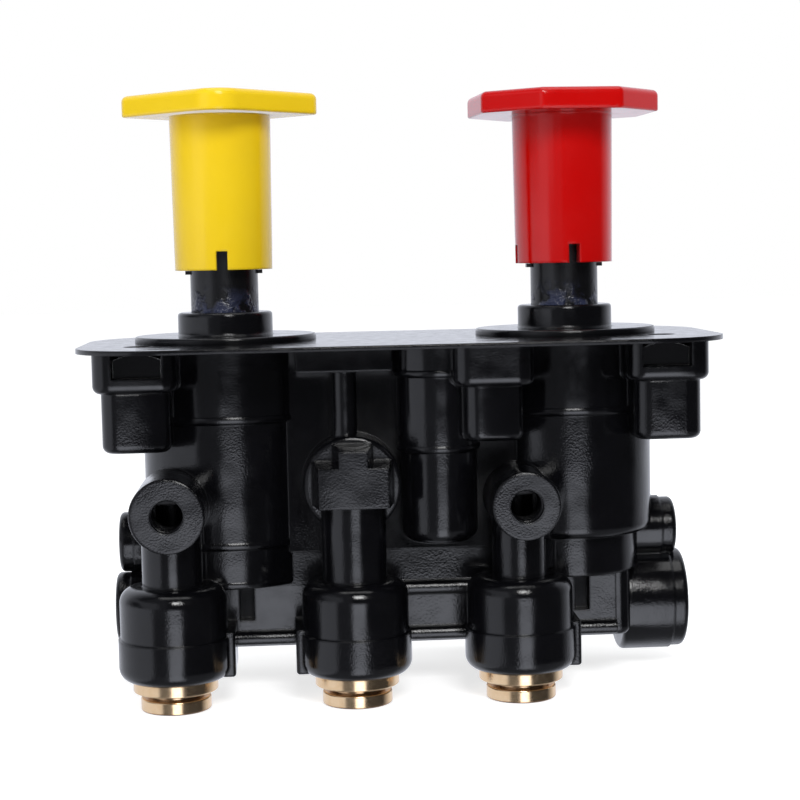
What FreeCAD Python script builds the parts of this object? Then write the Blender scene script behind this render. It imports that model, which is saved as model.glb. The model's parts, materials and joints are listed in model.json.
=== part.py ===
import FreeCAD, Part
import math
import os
import re
import Sketcher
from FreeCAD import Placement, Rotation, Vector

# Two-button dash control valve for a truck's air brakes, in millimetres.
# The dashboard panel lies on the plane z = 0: the knobs stand above it and the valve hangs below it.
# The origin lies on that plane, midway between the two plungers. The front, with the tube ports, faces -Y.

doc = FreeCAD.newDocument("DashControlValve")

# Driving sizes

SIZES = {
    # Panel flange
    "plunger_pitch": 82.55,
    "flange_half_width": 75.0,
    "flange_front": 41.0,
    "flange_rear": 33.0,
    "flange_thickness": 1.1,
    "flange_front_corner": 20.0,
    "flange_rear_corner": 24.0,
    # Mounting bosses with captive square nuts
    "mount_half_spacing": 60.8,
    "mount_depth": 21.0,
    "screw_hole_radius": 3.3,
    "screw_hole_end": 2.5,
    "mount_boss_width": 19.4,
    "mount_boss_shift": 0.6,
    "mount_boss_depth": 16.0,
    "mount_boss_height": 9.3,
    "mount_post_width": 15.8,
    "mount_post_depth": 14.0,
    "mount_post_length": 13.7,
    "mount_corner": 4.0,
    "mount_edge": 1.8,
    "nut_flats": 11.1,
    "nut_height": 5.6,
    "nut_gap": 0.3,
    # Barrels
    "barrel_top_radius": 21.2,
    "barrel_top_length": 17.5,
    "barrel_radius": 20.4,
    "barrel_length": 29.6,
    "park_tail_radius": 19.6,
    "trailer_tail_radius": 17.0,
    "barrel_tail_length": 9.4,
    "barrel_top_edge": 0.7,
    "barrel_edge": 2.4,
    "chamber_radius": 16.5,
    "chamber_depth": 33.0,
    "sleeve_bore_radius": 12.05,
    "sleeve_bore_depth": 53.4,
    # Plunger guides
    "guide_disc_radius": 21.8,
    "guide_disc_thickness": 1.5,
    "guide_disc_edge": 0.5,
    "collar_radius": 11.4,
    "collar_height": 5.5,
    "collar_edge": 0.8,
    "guide_length": 8.0,
    "guide_groove_place": 2.6,
    "snap_depth": 0.45,
    "snap_length": 1.2,
    "snap_place": 5.2,
    "snap_gap": 0.2,
    # Clearances
    "running_gap": 0.05,
    "seal_gap": 0.02,
    "groove_slack": 0.12,
    # How far a hollow runs past the face it opens on, and a form into the one that carries it
    "overrun": 1.0,
    "stop_gap": 0.3,
    # Plungers
    "stem_radius": 8.14,
    "stem_top": 49.0,
    "plunger_travel": 8.8,
    "shoulder_radius": 13.0,
    "shoulder_thickness": 2.2,
    "shank_radius": 5.2,
    "lug_reach": 1.1,
    "lug_width": 2.4,
    "lug_height": 0.9,
    "lug_gap": 0.1,
    # Knobs
    "knob_tube_radius": 11.7,
    "knob_tube_top_radius": 12.1,
    "park_head_bottom": 53.8,
    "trailer_head_bottom": 52.7,
    "knob_head_thickness": 5.1,
    "knob_slot_width": 2.6,
    "knob_slot_height": 4.4,
    "knob_edge": 1.5,
    "diamond_half": 24.3,
    "diamond_front_corner": 7.0,
    "diamond_side_corner": 2.5,
    "octagon_half": 21.5,
    "octagon_flat": 18.9,
    "octagon_corner": 1.6,
    "octagon_twist": 4.5,
    # O-ring wires
    "stem_ring_wire": 1.2,
    "guide_ring_wire": 0.9,
    "spool_ring_wire": 0.85,
    "sleeve_ring_wire": 0.9,
    # Plunger springs
    "spring_coil_radius": 11.9,
    "spring_wire_radius": 0.8,
    "spring_turns": 5.5,
    # Spool sleeves, with supply and delivery holes one above the other
    "sleeve_bore": 8.0,
    "sleeve_neck_radius": 10.0,
    "sleeve_neck_height": 5.0,
    "sleeve_flange_thickness": 3.0,
    "sleeve_port_radius": 1.5,
    "sleeve_top_ring": 35.2,
    "supply_level": 38.2,
    "sleeve_middle_ring": 41.5,
    "delivery_level": 45.0,
    "sleeve_low_ring": 48.5,
    # Spools
    "spool_top": 25.8,
    "spool_bottom": 43.2,
    "spool_top_ring": 27.5,
    "spool_low_ring": 41.5,
    "spool_waist_radius": 5.0,
    "spool_waist_top": 31.5,
    "spool_waist_bottom": 39.5,
    "shank_seat": 30.0,
    "screw_radius": 2.0,
    "screw_head_radius": 3.5,
    "screw_head_height": 2.0,
    "screw_recess": 2.3,
    "screw_grip": 8.0,
    # Tube ports
    "port_front": 25.0,
    "left_port_x": 54.2,
    "middle_port_x": 12.2,
    "right_port_x": 26.1,
    "port_top": 54.9,
    "port_bottom": 76.7,
    "port_radius": 12.35,
    "port_skirt_radius": 12.9,
    "port_seam": 67.0,
    "port_shoulder": 3.6,
    "port_rim": 3.2,
    "neck_radius": 7.0,
    "right_neck_radius": 6.3,
    "middle_neck_radius": 7.5,
    "fitting_bore_radius": 9.0,
    "fitting_bore_depth": 9.8,
    "ring_room_depth": 4.2,
    "tube_radius": 4.85,
    "tube_socket_depth": 5.0,
    "passage_radius": 3.4,
    "gallery_radius": 2.4,
    "gallery_tube_radius": 5.0,
    "exhaust_gallery_radius": 0.8,
    "exhaust_room": 2.0,
    "exhaust_drop_x": 50.6,
    "bridge_half_width": 3.6,
    "bridge_corner": 0.5,
    # Tube port fittings
    "cap_flange_radius": 9.8,
    "cap_flange_height": 2.6,
    "cap_edge": 0.4,
    "collet_outer_radius": 6.5,
    "collet_head_radius": 8.15,
    "collet_head_height": 3.0,
    "collet_travel": 1.2,
    "collet_bead": 0.8,
    "collet_bead_length": 1.6,
    "collet_ledge": 5.8,
    "collet_slot_width": 0.9,
    "collet_slot_length": 8.0,
    "tube_ring_wire": 1.75,
    "support_radius": 3.1,
    "support_wall": 0.5,
    "support_length": 9.5,
    "support_flange": 1.0,
    # Gauge ports that face the front
    "gauge_port_face": 36.0,
    "left_gauge_x": 54.5,
    "right_gauge_x": 26.9,
    "gauge_level": 37.6,
    "left_gauge_radius": 8.6,
    "right_gauge_radius": 7.9,
    "gauge_edge": 0.5,
    "gauge_hole_radius": 3.8,
    "gauge_hole_depth": 10.4,
    "riser_rise": 1.4,
    # Double check valve in the middle, along Y
    "check_level": 33.0,
    "check_boss_radius": 11.4,
    "check_boss_front": 25.0,
    "check_boss_rear": 22.0,
    "check_boss_edge": 1.0,
    "check_bore_radius": 7.0,
    "check_bore_front": 12.8,
    "check_thread_radius": 9.0,
    "check_thread_depth": 6.0,
    "check_seat_front": 4.8,
    "check_seat_bore": 3.6,
    "check_seat_lip": 1.0,
    "check_cap_flats": 17.0,
    "check_cap_head": 5.0,
    "check_cap_groove": 2.0,
    "check_ring_wire": 0.8,
    "shuttle_waist": 3.6,
    "shuttle_land": 2.6,
    "shuttle_travel": 1.5,
    "shuttle_seal_radius": 5.6,
    "shuttle_seal_height": 1.4,
    # Cross-shaped lug in front of the check valve
    "cross_front": 34.0,
    "cross_bar_width": 16.0,
    "cross_bar_top": 28.1,
    "cross_bar_bottom": 37.4,
    "cross_post_width": 6.6,
    "cross_post_top": 24.2,
    "cross_draft": 1.6,
    # Posts under the flange between the barrels
    "step_post_x": 8.2,
    "step_post_front": 20.0,
    "step_post_radius": 8.9,
    "step_post_bottom": 47.2,
    "step_post_middle": 25.7,
    "step_post_upper": 8.2,
    "step_growth": 0.7,
    "step_post_round": 3.5,
    "rib_post_x": 13.6,
    "rib_post_front": 20.0,
    "rib_post_radius": 2.9,
    "rib_foot_width": 4.0,
    "rib_block_front": 25.0,
    "rib_block_height": 5.7,
    "rib_block_width": 22.0,
    "middle_boss_x": 20.3,
    "middle_boss_front": 25.0,
    "middle_boss_width": 18.6,
    "middle_boss_depth": 18.0,
    "middle_post_width": 13.7,
    "middle_post_depth": 14.0,
    "middle_post_length": 12.7,
    # Walls behind the tube ports
    "wall_front": 15.0,
    "wall_thickness": 4.0,
    "wall_half_width": 27.0,
    "web_front": 13.0,
    "web_half_width": 51.0,
    "web_top": 50.0,
    "web_bottom": 72.2,
    "beam_radius": 1.7,
    "middle_beam_top": 57.8,
    "web_slot_width": 3.6,
    "web_slot_top": 57.6,
    "web_slot_height": 8.6,
    "web_slot_depth": 3.0,
    "web_slot_offset": 2.4,
    "gusset_width": 1.7,
    "gusset_front": 28.0,
    "gusset_top": 66.0,
    "gusset_bottom": 76.4,
    "gusset_round": 0.8,
    # Manifold block behind the walls
    "manifold_half_width": 55.4,
    "manifold_front": 9.5,
    "manifold_rear": 20.0,
    "manifold_top": 46.0,
    "manifold_bottom": 73.6,
    "manifold_corner": 3.0,
    "manifold_edge": 2.0,
    "core_width": 12.0,
    "core_height": 20.0,
    "core_depth": 6.5,
    "core_corner": 2.0,
    "core_level": 59.5,
    "core_rib": 3.0,
    # Threaded ports at the ends and at the back
    "end_port_y": 8.0,
    "end_port_start": 54.6,
    "end_port_reach": 70.7,
    "exhaust_port_reach": 70.0,
    "exhaust_port_level": 66.0,
    "big_port_level": 67.6,
    "supply_port_radius": 12.7,
    "exhaust_port_radius": 9.2,
    "pipe_thread_radius": 7.3,
    "pipe_thread_depth": 15.0,
    "end_rim": 0.45,
    "end_rim_length": 3.6,
    "end_round": 1.2,
    "small_port_start": 50.6,
    "small_port_reach": 68.8,
    "small_port_level": 49.6,
    "small_port_radius": 7.8,
    "small_thread_radius": 5.2,
    "small_thread_depth": 11.0,
    "rear_port_x": 26.0,
    "rear_port_start": 12.0,
    "rear_port_reach": 32.0,
    # Pipe plugs in the small ports
    "plug_length": 8.0,
    "plug_inset": 0.5,
    "plug_hex": 4.8,
    "plug_hex_depth": 4.5,
    # Exhaust flap
    "exhaust_bore_radius": 7.2,
    "exhaust_bore_depth": 5.0,
    "exhaust_chamber_depth": 14.0,
    "grille_thickness": 2.5,
    "grille_ledge": 1.0,
    "grille_hole_radius": 1.4,
    "grille_hole_circle": 4.6,
    "flap_radius": 6.9,
    "flap_thickness": 1.2,
    "flap_stem_radius": 1.5,
    "flap_bulb_radius": 2.1,
    "flap_bulb_length": 2.6,
}

sheet = doc.addObject("Spreadsheet::Sheet", "Sizes")
for row, (name, size) in enumerate(SIZES.items(), start=1):
    sheet.set(f"A{row}", name)
    sheet.set(f"B{row}", str(size))
    sheet.setAlias(f"B{row}", name)
doc.recompute()

WORD = re.compile(r"[a-z][a-z_]*[a-z]")


def linked(formula):
    """A formula in plain size names, with each name pointed at its cell."""
    def pointed(found):
        word = found.group()
        return f"Sizes.{word}" if word in SIZES else word

    return WORD.sub(pointed, formula)


def number(formula):
    """The value of a formula at the sizes in the sheet."""
    return float(sheet.evalExpression(linked(formula)))


def bind(item, **formulas):
    """Tie properties of an object to the sheet. Two underscores in a name stand for a dot."""
    for prop, formula in formulas.items():
        item.setExpression(prop.replace("__", "."), linked(formula))


def settle(item):
    """Work an object out, and stop where it failed."""
    doc.recompute()
    if "Invalid" in item.State or "Error" in item.State:
        raise RuntimeError(f"{item.Label} failed: {item.State}")
    return item


# Places and turns. Each turn carries the Z axis to the direction in its name.

UP = Rotation()
TO_X = Rotation(Vector(0, 1, 0), 90)
TO_MINUS_X = Rotation(Vector(0, 1, 0), -90)
TO_Y = Rotation(Vector(1, 0, 0), -90)
TO_MINUS_Y = Rotation(Vector(1, 0, 0), 90)


def place(item, x="0", y="0", z="0", turn=UP):
    item.Placement = Placement(Vector(), turn)
    bind(item, Placement__Base__x=x, Placement__Base__y=y, Placement__Base__z=z)
    return item


# Sketches

def new_sketch(body, role):
    """A sketch on one of the body's own origin planes."""
    sketch = body.newObject("Sketcher::SketchObject", "Sketch")
    plane = next(feature for feature in body.Origin.OriginFeatures if feature.Role == role)
    sketch.AttachmentSupport = [(plane, "")]
    sketch.MapMode = "FlatFace"
    return sketch


def tie(sketch, kind, places, formula):
    """Add a constraint whose value follows a formula."""
    row = sketch.addConstraint(Sketcher.Constraint(kind, *places, number(formula)))
    sketch.setExpression(f"Constraints[{row}]", linked(formula))


def draw_outline(sketch, points):
    """A closed outline of straight lines through points given as pairs of formulas."""
    spots = [Vector(number(across), number(along), 0) for across, along in points]
    count = len(points)
    for index in range(count):
        sketch.addGeometry(Part.LineSegment(spots[index], spots[(index + 1) % count]), False)
    for index in range(count):
        sketch.addConstraint(Sketcher.Constraint("Coincident", index, 2, (index + 1) % count, 1))
    for index, (across, along) in enumerate(points):
        for kind, axis, formula in (("DistanceX", -2, across), ("DistanceY", -1, along)):
            if formula == "0":
                sketch.addConstraint(Sketcher.Constraint("PointOnObject", index, 1, axis))
            else:
                tie(sketch, kind, (-1, 1, index, 1), formula)


def draw_rounded_outline(sketch, half_width, front, rear, front_corner, rear_corner):
    """A rectangle with tangent corner arcs, symmetric about Y, from y = -front to y = rear."""
    wide, low, high = number(half_width), -number(front), number(rear)
    low_corner, high_corner = number(front_corner), number(rear_corner)
    quarter = math.pi / 2

    def corner(x, y, radius, quadrant):
        circle = Part.Circle(Vector(x, y, 0), Vector(0, 0, 1), radius)
        return Part.ArcOfCircle(circle, quadrant * quarter, (quadrant + 1) * quarter)

    def line(x_start, y_start, x_end, y_end):
        return Part.LineSegment(Vector(x_start, y_start, 0), Vector(x_end, y_end, 0))

    pieces = [
        line(-wide + low_corner, low, wide - low_corner, low),
        corner(wide - low_corner, low + low_corner, low_corner, 3),
        line(wide, low + low_corner, wide, high - high_corner),
        corner(wide - high_corner, high - high_corner, high_corner, 0),
        line(wide - high_corner, high, -wide + high_corner, high),
        corner(-wide + high_corner, high - high_corner, high_corner, 1),
        line(-wide, high - high_corner, -wide, low + low_corner),
        corner(-wide + low_corner, low + low_corner, low_corner, 2),
    ]
    for piece in pieces:
        sketch.addGeometry(piece, False)
    for index in range(len(pieces)):
        sketch.addConstraint(Sketcher.Constraint("Tangent", index, 2, (index + 1) % len(pieces), 1))
    for index in (0, 4):
        sketch.addConstraint(Sketcher.Constraint("Horizontal", index))
    for index in (2, 6):
        sketch.addConstraint(Sketcher.Constraint("Vertical", index))
    tie(sketch, "DistanceY", (-1, 1, 0, 1), f"-({front})")
    tie(sketch, "DistanceX", (-1, 1, 2, 1), half_width)
    tie(sketch, "DistanceY", (-1, 1, 4, 1), rear)
    tie(sketch, "DistanceX", (-1, 1, 6, 1), f"-({half_width})")
    for index, radius in ((1, front_corner), (3, rear_corner), (5, rear_corner), (7, front_corner)):
        tie(sketch, "Radius", (index,), radius)


# Solids

def rounded(body, base, edges, radius):
    """Round some edges of a body's last feature."""
    if not edges:
        raise RuntimeError(f"{body.Label} has no such edge to round")
    rounding = body.newObject("PartDesign::Fillet", "Rounding")
    rounding.Base = (base, edges)
    bind(rounding, Radius=radius)
    return settle(rounding)


def rim_edges(shape, radius, height):
    """Names of the circular edges about the Z axis with this radius at this height."""
    names = []
    for index, edge in enumerate(shape.Edges, start=1):
        curve = edge.Curve
        if not isinstance(curve, Part.Circle):
            continue
        away = math.hypot(curve.Center.x, curve.Center.y) + abs(curve.Center.z - height)
        if away + abs(curve.Radius - radius) < 1e-4:
            names.append(f"Edge{index}")
    return names


def level_edges(shape, height):
    """Names of the edges that lie wholly at this height."""
    return [f"Edge{index}" for index, edge in enumerate(shape.Edges, start=1)
            if abs(edge.BoundBox.ZMin - height) < 1e-4 and abs(edge.BoundBox.ZMax - height) < 1e-4]


def turned(label, points, rounds=()):
    """A body turned about Z from pairs of radius and height.

    rounds holds pairs: the numbers of the corners to round, and their radius.
    """
    body = doc.addObject("PartDesign::Body", label)
    body.Label = label
    sketch = new_sketch(body, "XZ_Plane")
    draw_outline(sketch, points)
    turning = body.newObject("PartDesign::Revolution", "Turning")
    turning.Profile = sketch
    turning.ReferenceAxis = (sketch, ["V_Axis"])
    turning.Angle = 360
    last = settle(turning)
    for corners, radius in rounds:
        edges = []
        for corner in corners:
            across, along = points[corner]
            edges += rim_edges(last.Shape, number(across), number(along))
        last = rounded(body, last, edges, radius)
    return body


def block(label, half_width, front, rear, height, corner, edge=None, rear_corner=None):
    """A block that hangs down from z = 0, with rounded upright edges and a rounded bottom edge."""
    body = doc.addObject("PartDesign::Body", label)
    body.Label = label
    sketch = new_sketch(body, "XY_Plane")
    draw_rounded_outline(sketch, half_width, front, rear, corner, rear_corner or corner)
    pad = body.newObject("PartDesign::Pad", "Pad")
    pad.Profile = sketch
    pad.Reversed = True
    bind(pad, Length=height)
    settle(pad)
    if edge:
        rounded(body, pad, level_edges(pad.Shape, -number(height)), edge)
    return body


def cylinder(label, radius, height, x="0", y="0", z="0", turn=UP):
    item = doc.addObject("Part::Cylinder", label)
    bind(item, Radius=radius, Height=height)
    return place(item, x, y, z, turn)


def box(label, size_x, size_y, size_z, x, y, z):
    """A box with its lowest corner at x, y, z."""
    item = doc.addObject("Part::Box", label)
    bind(item, Length=size_x, Width=size_y, Height=size_z)
    return place(item, x, y, z)


def prism(label, sides, flats, height, x="0", y="0", z="0", turn=UP):
    """A regular prism, sized over its flats."""
    item = doc.addObject("Part::Prism", label)
    item.Polygon = sides
    bind(item, Circumradius=f"({flats}) / 2 / cos({180 / sides} deg)", Height=height)
    return place(item, x, y, z, turn)


def torus(label, ring_radius, wire_radius, x="0", y="0", z="0", turn=UP):
    item = doc.addObject("Part::Torus", label)
    bind(item, Radius1=ring_radius, Radius2=wire_radius)
    return place(item, x, y, z, turn)


def fused(label, items, merge_faces=True):
    item = doc.addObject("Part::MultiFuse", label)
    item.Shapes = items
    item.Refine = merge_faces
    return settle(item)


def common(label, items):
    item = doc.addObject("Part::MultiCommon", label)
    item.Shapes = items
    return settle(item)


def cut(label, base, tools, merge_faces=True):
    item = doc.addObject("Part::Cut", label)
    item.Base = base
    item.Tool = tools[0] if len(tools) == 1 else fused(f"{label}_hollow", tools, merge_faces)
    item.Refine = merge_faces
    return settle(item)


subparts = []


def keep(item, label):
    """Name a finished piece of the valve."""
    item.Label = label
    subparts.append(item)
    return item


def group(label, items):
    """Identical small pieces kept together as separate solids."""
    item = doc.addObject("Part::Compound", label)
    item.Links = items
    return keep(settle(item), label)


SIDES = {"park": "-plunger_pitch / 2", "trailer": "plunger_pitch / 2"}
PORTS = {
    "left": ("-left_port_x", "neck_radius"),
    "middle": ("-middle_port_x", "middle_neck_radius"),
    "right": ("right_port_x", "right_neck_radius"),
}
moulding = []
hollows = []

# Flange that lies against the panel, and the two barrels under it

moulding.append(block("flange", "flange_half_width", "flange_front", "flange_rear", "flange_thickness",
                      "flange_front_corner", rear_corner="flange_rear_corner"))

barrel_step = "-flange_thickness - barrel_top_length"
barrel_end = barrel_step + " - barrel_length"
barrel_tail = barrel_end + " - barrel_tail_length"
snap_room = "chamber_radius + snap_depth"
snap_top = "-snap_place + snap_gap"
snap_bottom = "-snap_place - snap_length - snap_gap"
bore_profile = [
    ("0", "overrun"),
    ("chamber_radius", "overrun"),
    ("chamber_radius", snap_top),
    (snap_room, snap_top),
    (snap_room, snap_bottom),
    ("chamber_radius", snap_bottom),
    ("chamber_radius", "-chamber_depth"),
    ("sleeve_bore_radius", "-chamber_depth"),
    ("sleeve_bore_radius", "-sleeve_bore_depth"),
    ("0", "-sleeve_bore_depth"),
]
for side, across in SIDES.items():
    barrel_profile = [
        ("0", "-flange_thickness"),
        ("barrel_top_radius", "-flange_thickness"),
        ("barrel_top_radius", barrel_step),
        ("barrel_radius", barrel_step),
        ("barrel_radius", barrel_end),
        (f"{side}_tail_radius", barrel_end),
        (f"{side}_tail_radius", barrel_tail),
        ("0", barrel_tail),
    ]
    end_rounding = f"min(barrel_edge; (barrel_radius - {side}_tail_radius) * 0.9)"
    barrel = turned(f"{side}_barrel", barrel_profile, [((4,), end_rounding), ((2, 6), "barrel_top_edge")])
    moulding.append(place(barrel, across))
    hollows.append(place(turned(f"{side}_bore", bore_profile), across))

# Mounting bosses. Each has a screw hole through the flange and an open pocket that holds a square nut.

nut_chamfer = "nut_flats * (1 / cos(45 deg) - 1) / 2 * tan(30 deg)"
nut_blank_profile = [
    ("0", "0"),
    ("nut_flats / 2 / cos(45 deg)", "0"),
    ("nut_flats / 2 / cos(45 deg)", f"nut_height - ({nut_chamfer})"),
    ("nut_flats / 2", "nut_height"),
    ("0", "nut_height"),
]
pocket_floor = "-flange_thickness - nut_height - nut_gap"
nuts = []
for end, sign_y, turn_angle in (("front", "-", 0), ("rear", "", 180)):
    for hand, sign_x in (("left", "-"), ("right", "")):
        name = f"{hand}_{end}"
        x, y = f"{sign_x}mount_half_spacing", f"{sign_y}mount_depth"
        outward = Rotation(Vector(0, 0, 1), turn_angle)
        head = block(f"{name}_boss", "mount_boss_width / 2", "mount_boss_depth / 2", "mount_boss_depth / 2",
                     "mount_boss_height", "mount_corner", "mount_edge")
        stalk = block(f"{name}_post", "mount_post_width / 2", "mount_post_depth / 2", "mount_post_depth / 2",
                      "mount_post_length", "mount_corner", "mount_edge")
        boss_x = f"{sign_x}(mount_half_spacing + mount_boss_shift)"
        moulding.append(place(head, boss_x, y, "-flange_thickness", outward))
        moulding.append(place(stalk, boss_x, y, "-flange_thickness - mount_boss_height", outward))
        depth = "flange_thickness + mount_boss_height + mount_post_length - screw_hole_end"
        hollows.append(cylinder(f"{name}_screw_hole", "screw_hole_radius", f"{depth} + overrun",
                                x, y, f"-({depth})"))
        pocket = block(f"{name}_pocket", "nut_flats / 2 + nut_gap / 2", "mount_boss_depth / 2 + overrun",
                       "nut_flats / 2 + nut_gap / 2", "nut_height + nut_gap", "nut_gap / 2")
        hollows.append(place(pocket, x, y, "-flange_thickness", outward))
        blank = place(turned(f"{name}_nut_blank", nut_blank_profile), x, y, pocket_floor)
        square = prism(f"{name}_nut_square", 4, "nut_flats", "nut_height", x, y, pocket_floor,
                       Rotation(Vector(0, 0, 1), 45))
        thread = cylinder(f"{name}_nut_bore", "screw_hole_radius", "nut_height + overrun * 2",
                          x, y, f"{pocket_floor} - overrun")
        nuts.append(cut(f"{name}_nut", common(f"{name}_nut_form", [blank, square]), [thread]))

# Posts, bosses and walls between the barrels

step_profile = [
    ("0", "-flange_thickness"),
    ("step_post_radius + step_growth * 2", "-flange_thickness"),
    ("step_post_radius + step_growth * 2", "-step_post_upper"),
    ("step_post_radius + step_growth", "-step_post_upper"),
    ("step_post_radius + step_growth", "-step_post_middle"),
    ("step_post_radius", "-step_post_middle"),
    ("step_post_radius", "-step_post_bottom"),
    ("0", "-step_post_bottom"),
]
step_post = turned("step_post", step_profile, [((6,), "step_post_round"), ((2, 4), "step_growth * 0.95")])
moulding.append(place(step_post, "step_post_x", "-step_post_front"))
middle_boss = block("middle_boss", "middle_boss_width / 2", "middle_boss_depth / 2", "middle_boss_depth / 2",
                    "mount_boss_height", "mount_corner", "mount_edge")
moulding.append(place(middle_boss, "middle_boss_x", "-middle_boss_front", "-flange_thickness"))
middle_post = block("middle_post", "middle_post_width / 2", "middle_post_depth / 2", "middle_post_depth / 2",
                    "middle_post_length", "mount_corner", "mount_edge")
moulding.append(place(middle_post, "middle_boss_x", "-middle_boss_front",
                      "-flange_thickness - mount_boss_height"))
moulding.append(box("middle_wall", "wall_half_width * 2", "wall_thickness", "web_top - flange_thickness",
                    "-wall_half_width", "-wall_front", "-web_top"))
moulding.append(box("rib_block", "rib_block_width", "rib_block_front - wall_front + overrun",
                    "rib_block_height", "-rib_post_x - rib_block_width / 2", "-rib_block_front",
                    "-flange_thickness - rib_block_height"))
moulding.append(cylinder("rib_post", "rib_post_radius", "check_level - flange_thickness",
                         "-rib_post_x", "-rib_post_front", "-check_level"))
moulding.append(box("rib_post_foot", "rib_foot_width", "rib_post_front - wall_front + overrun",
                    "check_level - flange_thickness", "-rib_post_x - rib_foot_width / 2",
                    "-rib_post_front", "-check_level"))

# Boss of the double check valve, with the cross-shaped lug on its front

check_length = "check_boss_front + check_boss_rear"
check_boss_profile = [
    ("0", "0"),
    ("check_boss_radius", "0"),
    ("check_boss_radius", check_length),
    ("0", check_length),
]
check_boss = turned("check_boss", check_boss_profile, [((1, 2), "check_boss_edge")])
moulding.append(place(check_boss, "-middle_port_x", "-check_boss_front", "-check_level", TO_Y))


def drafted_lug(label, half_width, top, bottom):
    """A lug that stands forward from the check valve's boss and narrows to its front face."""
    lug = doc.addObject("Part::Wedge", label)
    bind(lug,
         Xmin=f"-({half_width})", Xmax=half_width, Zmin=f"-({bottom})", Zmax=f"-({top})", Ymin="-cross_front",
         X2min=f"-({half_width}) - cross_draft", X2max=f"{half_width} + cross_draft",
         Z2min=f"-({bottom})", Z2max=f"-({top}) + cross_draft / 2", Ymax="-check_boss_front + overrun")
    return place(lug, "-middle_port_x")


moulding.append(drafted_lug("cross_bar", "cross_bar_width / 2", "cross_bar_top", "cross_bar_bottom"))
moulding.append(drafted_lug("cross_post", "cross_post_width / 2", "cross_post_top", "cross_bar_bottom"))

# Tube ports: a shouldered housing, a neck above it, and the bores for the fitting

housing_profile = [
    ("0", "-port_top"),
    ("port_radius", "-port_top"),
    ("port_radius", "-port_seam"),
    ("port_skirt_radius", "-port_seam"),
    ("port_skirt_radius", "-port_bottom"),
    ("0", "-port_bottom"),
]
bore_end = "-port_bottom + fitting_bore_depth"
room_end = bore_end + " + ring_room_depth"
socket_end = room_end + " + tube_socket_depth"
ring_room_radius = "tube_radius + tube_ring_wire * 2 + seal_gap * 3"
socket_profile = [
    ("0", "-port_bottom - overrun"),
    ("fitting_bore_radius", "-port_bottom - overrun"),
    ("fitting_bore_radius", bore_end),
    (ring_room_radius, bore_end),
    (ring_room_radius, room_end),
    ("tube_radius + running_gap", room_end),
    ("tube_radius + running_gap", socket_end),
    ("0", socket_end),
]
for port, (x, neck) in PORTS.items():
    housing = turned(f"{port}_housing", housing_profile, [((1,), "port_shoulder"), ((4,), "port_rim")])
    moulding.append(place(housing, x, "-port_front"))
    level = "check_level" if port == "middle" else "gauge_level"
    riser_top = level if port == "middle" else "gauge_level - riser_rise"
    moulding.append(cylinder(f"{port}_neck", neck, f"port_top + overrun - {level}",
                             x, "-port_front", "-port_top - overrun"))
    hollows.append(place(turned(f"{port}_socket", socket_profile), x, "-port_front"))
    hollows.append(cylinder(f"{port}_riser", "passage_radius", f"-({socket_end}) + overrun - ({riser_top})", x,
                            "-port_front", f"{socket_end} - overrun"))

# Bridges that carry the delivery air from each barrel to the neck of its tube port

for side, x_port in (("park", "-left_port_x"), ("trailer", "right_port_x")):
    x_barrel = SIDES[side]
    reach = f"sqrt(({x_barrel} - ({x_port})) ^ 2 + port_front ^ 2)"
    sideways, inward = number(f"{x_barrel} - ({x_port})"), number("port_front")
    bridge = block(f"{side}_bridge", "bridge_half_width", "0", reach, "port_top - gauge_level",
                   "bridge_corner")
    heading = math.degrees(math.atan2(-sideways, inward))
    moulding.append(place(bridge, x_port, "-port_front", "-gauge_level", Rotation(Vector(0, 0, 1), heading)))
    hollows.append(cylinder(f"{side}_delivery", "gallery_radius", reach, x_port, "-port_front",
                            "-delivery_level", Rotation(Vector(0, 0, 1), Vector(sideways, inward, 0))))

# Gauge ports on the left and right necks

for hand, x, radius in (("left", "-left_gauge_x", "left_gauge_radius"),
                        ("right", "right_gauge_x", "right_gauge_radius")):
    length = "gauge_port_face - web_front"
    gauge = turned(f"{hand}_gauge_port", [("0", "0"), (radius, "0"), (radius, length), ("0", length)],
                   [((2,), "gauge_edge")])
    moulding.append(place(gauge, x, "-web_front", "-gauge_level", TO_MINUS_Y))
    hollows.append(cylinder(f"{hand}_gauge_hole", "gauge_hole_radius", "gauge_hole_depth + overrun", x,
                            "-gauge_port_face - overrun", "-gauge_level", TO_Y))

# Web, beams, slots and gussets behind the tube ports

moulding.append(box("web", "web_half_width * 2", "web_front - manifold_front + overrun", "web_bottom - web_top",
                    "-web_half_width", "-web_front", "-web_bottom"))
moulding.append(cylinder("low_beam", "beam_radius", "web_half_width * 2", "-web_half_width", "-web_front",
                         "-web_bottom + beam_radius", TO_X))
moulding.append(cylinder("middle_beam", "beam_radius", "middle_port_x + right_port_x", "-middle_port_x",
                         "-web_front", "-middle_beam_top - beam_radius", TO_X))
for hand, x in (("left", "-left_port_x + port_radius + web_slot_offset"),
                ("right", "right_port_x + port_radius + web_slot_offset")):
    hollows.append(box(f"{hand}_web_slot", "web_slot_width", "web_slot_depth + overrun", "web_slot_height", x,
                       "-web_front - overrun", "-web_slot_top - web_slot_height"))
gusset_sides = (("left", "-left_port_x + port_radius"), ("middle", "-middle_port_x - port_radius"),
                ("right", "right_port_x + port_radius"))
for port, x in gusset_sides:
    gusset = block(f"{port}_gusset", "gusset_width", "gusset_front", "-manifold_front",
                   "gusset_bottom - gusset_top", "gusset_round", "gusset_round")
    moulding.append(place(gusset, x, "0", "-gusset_top"))

# Manifold block with its end ports and rear port

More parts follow.
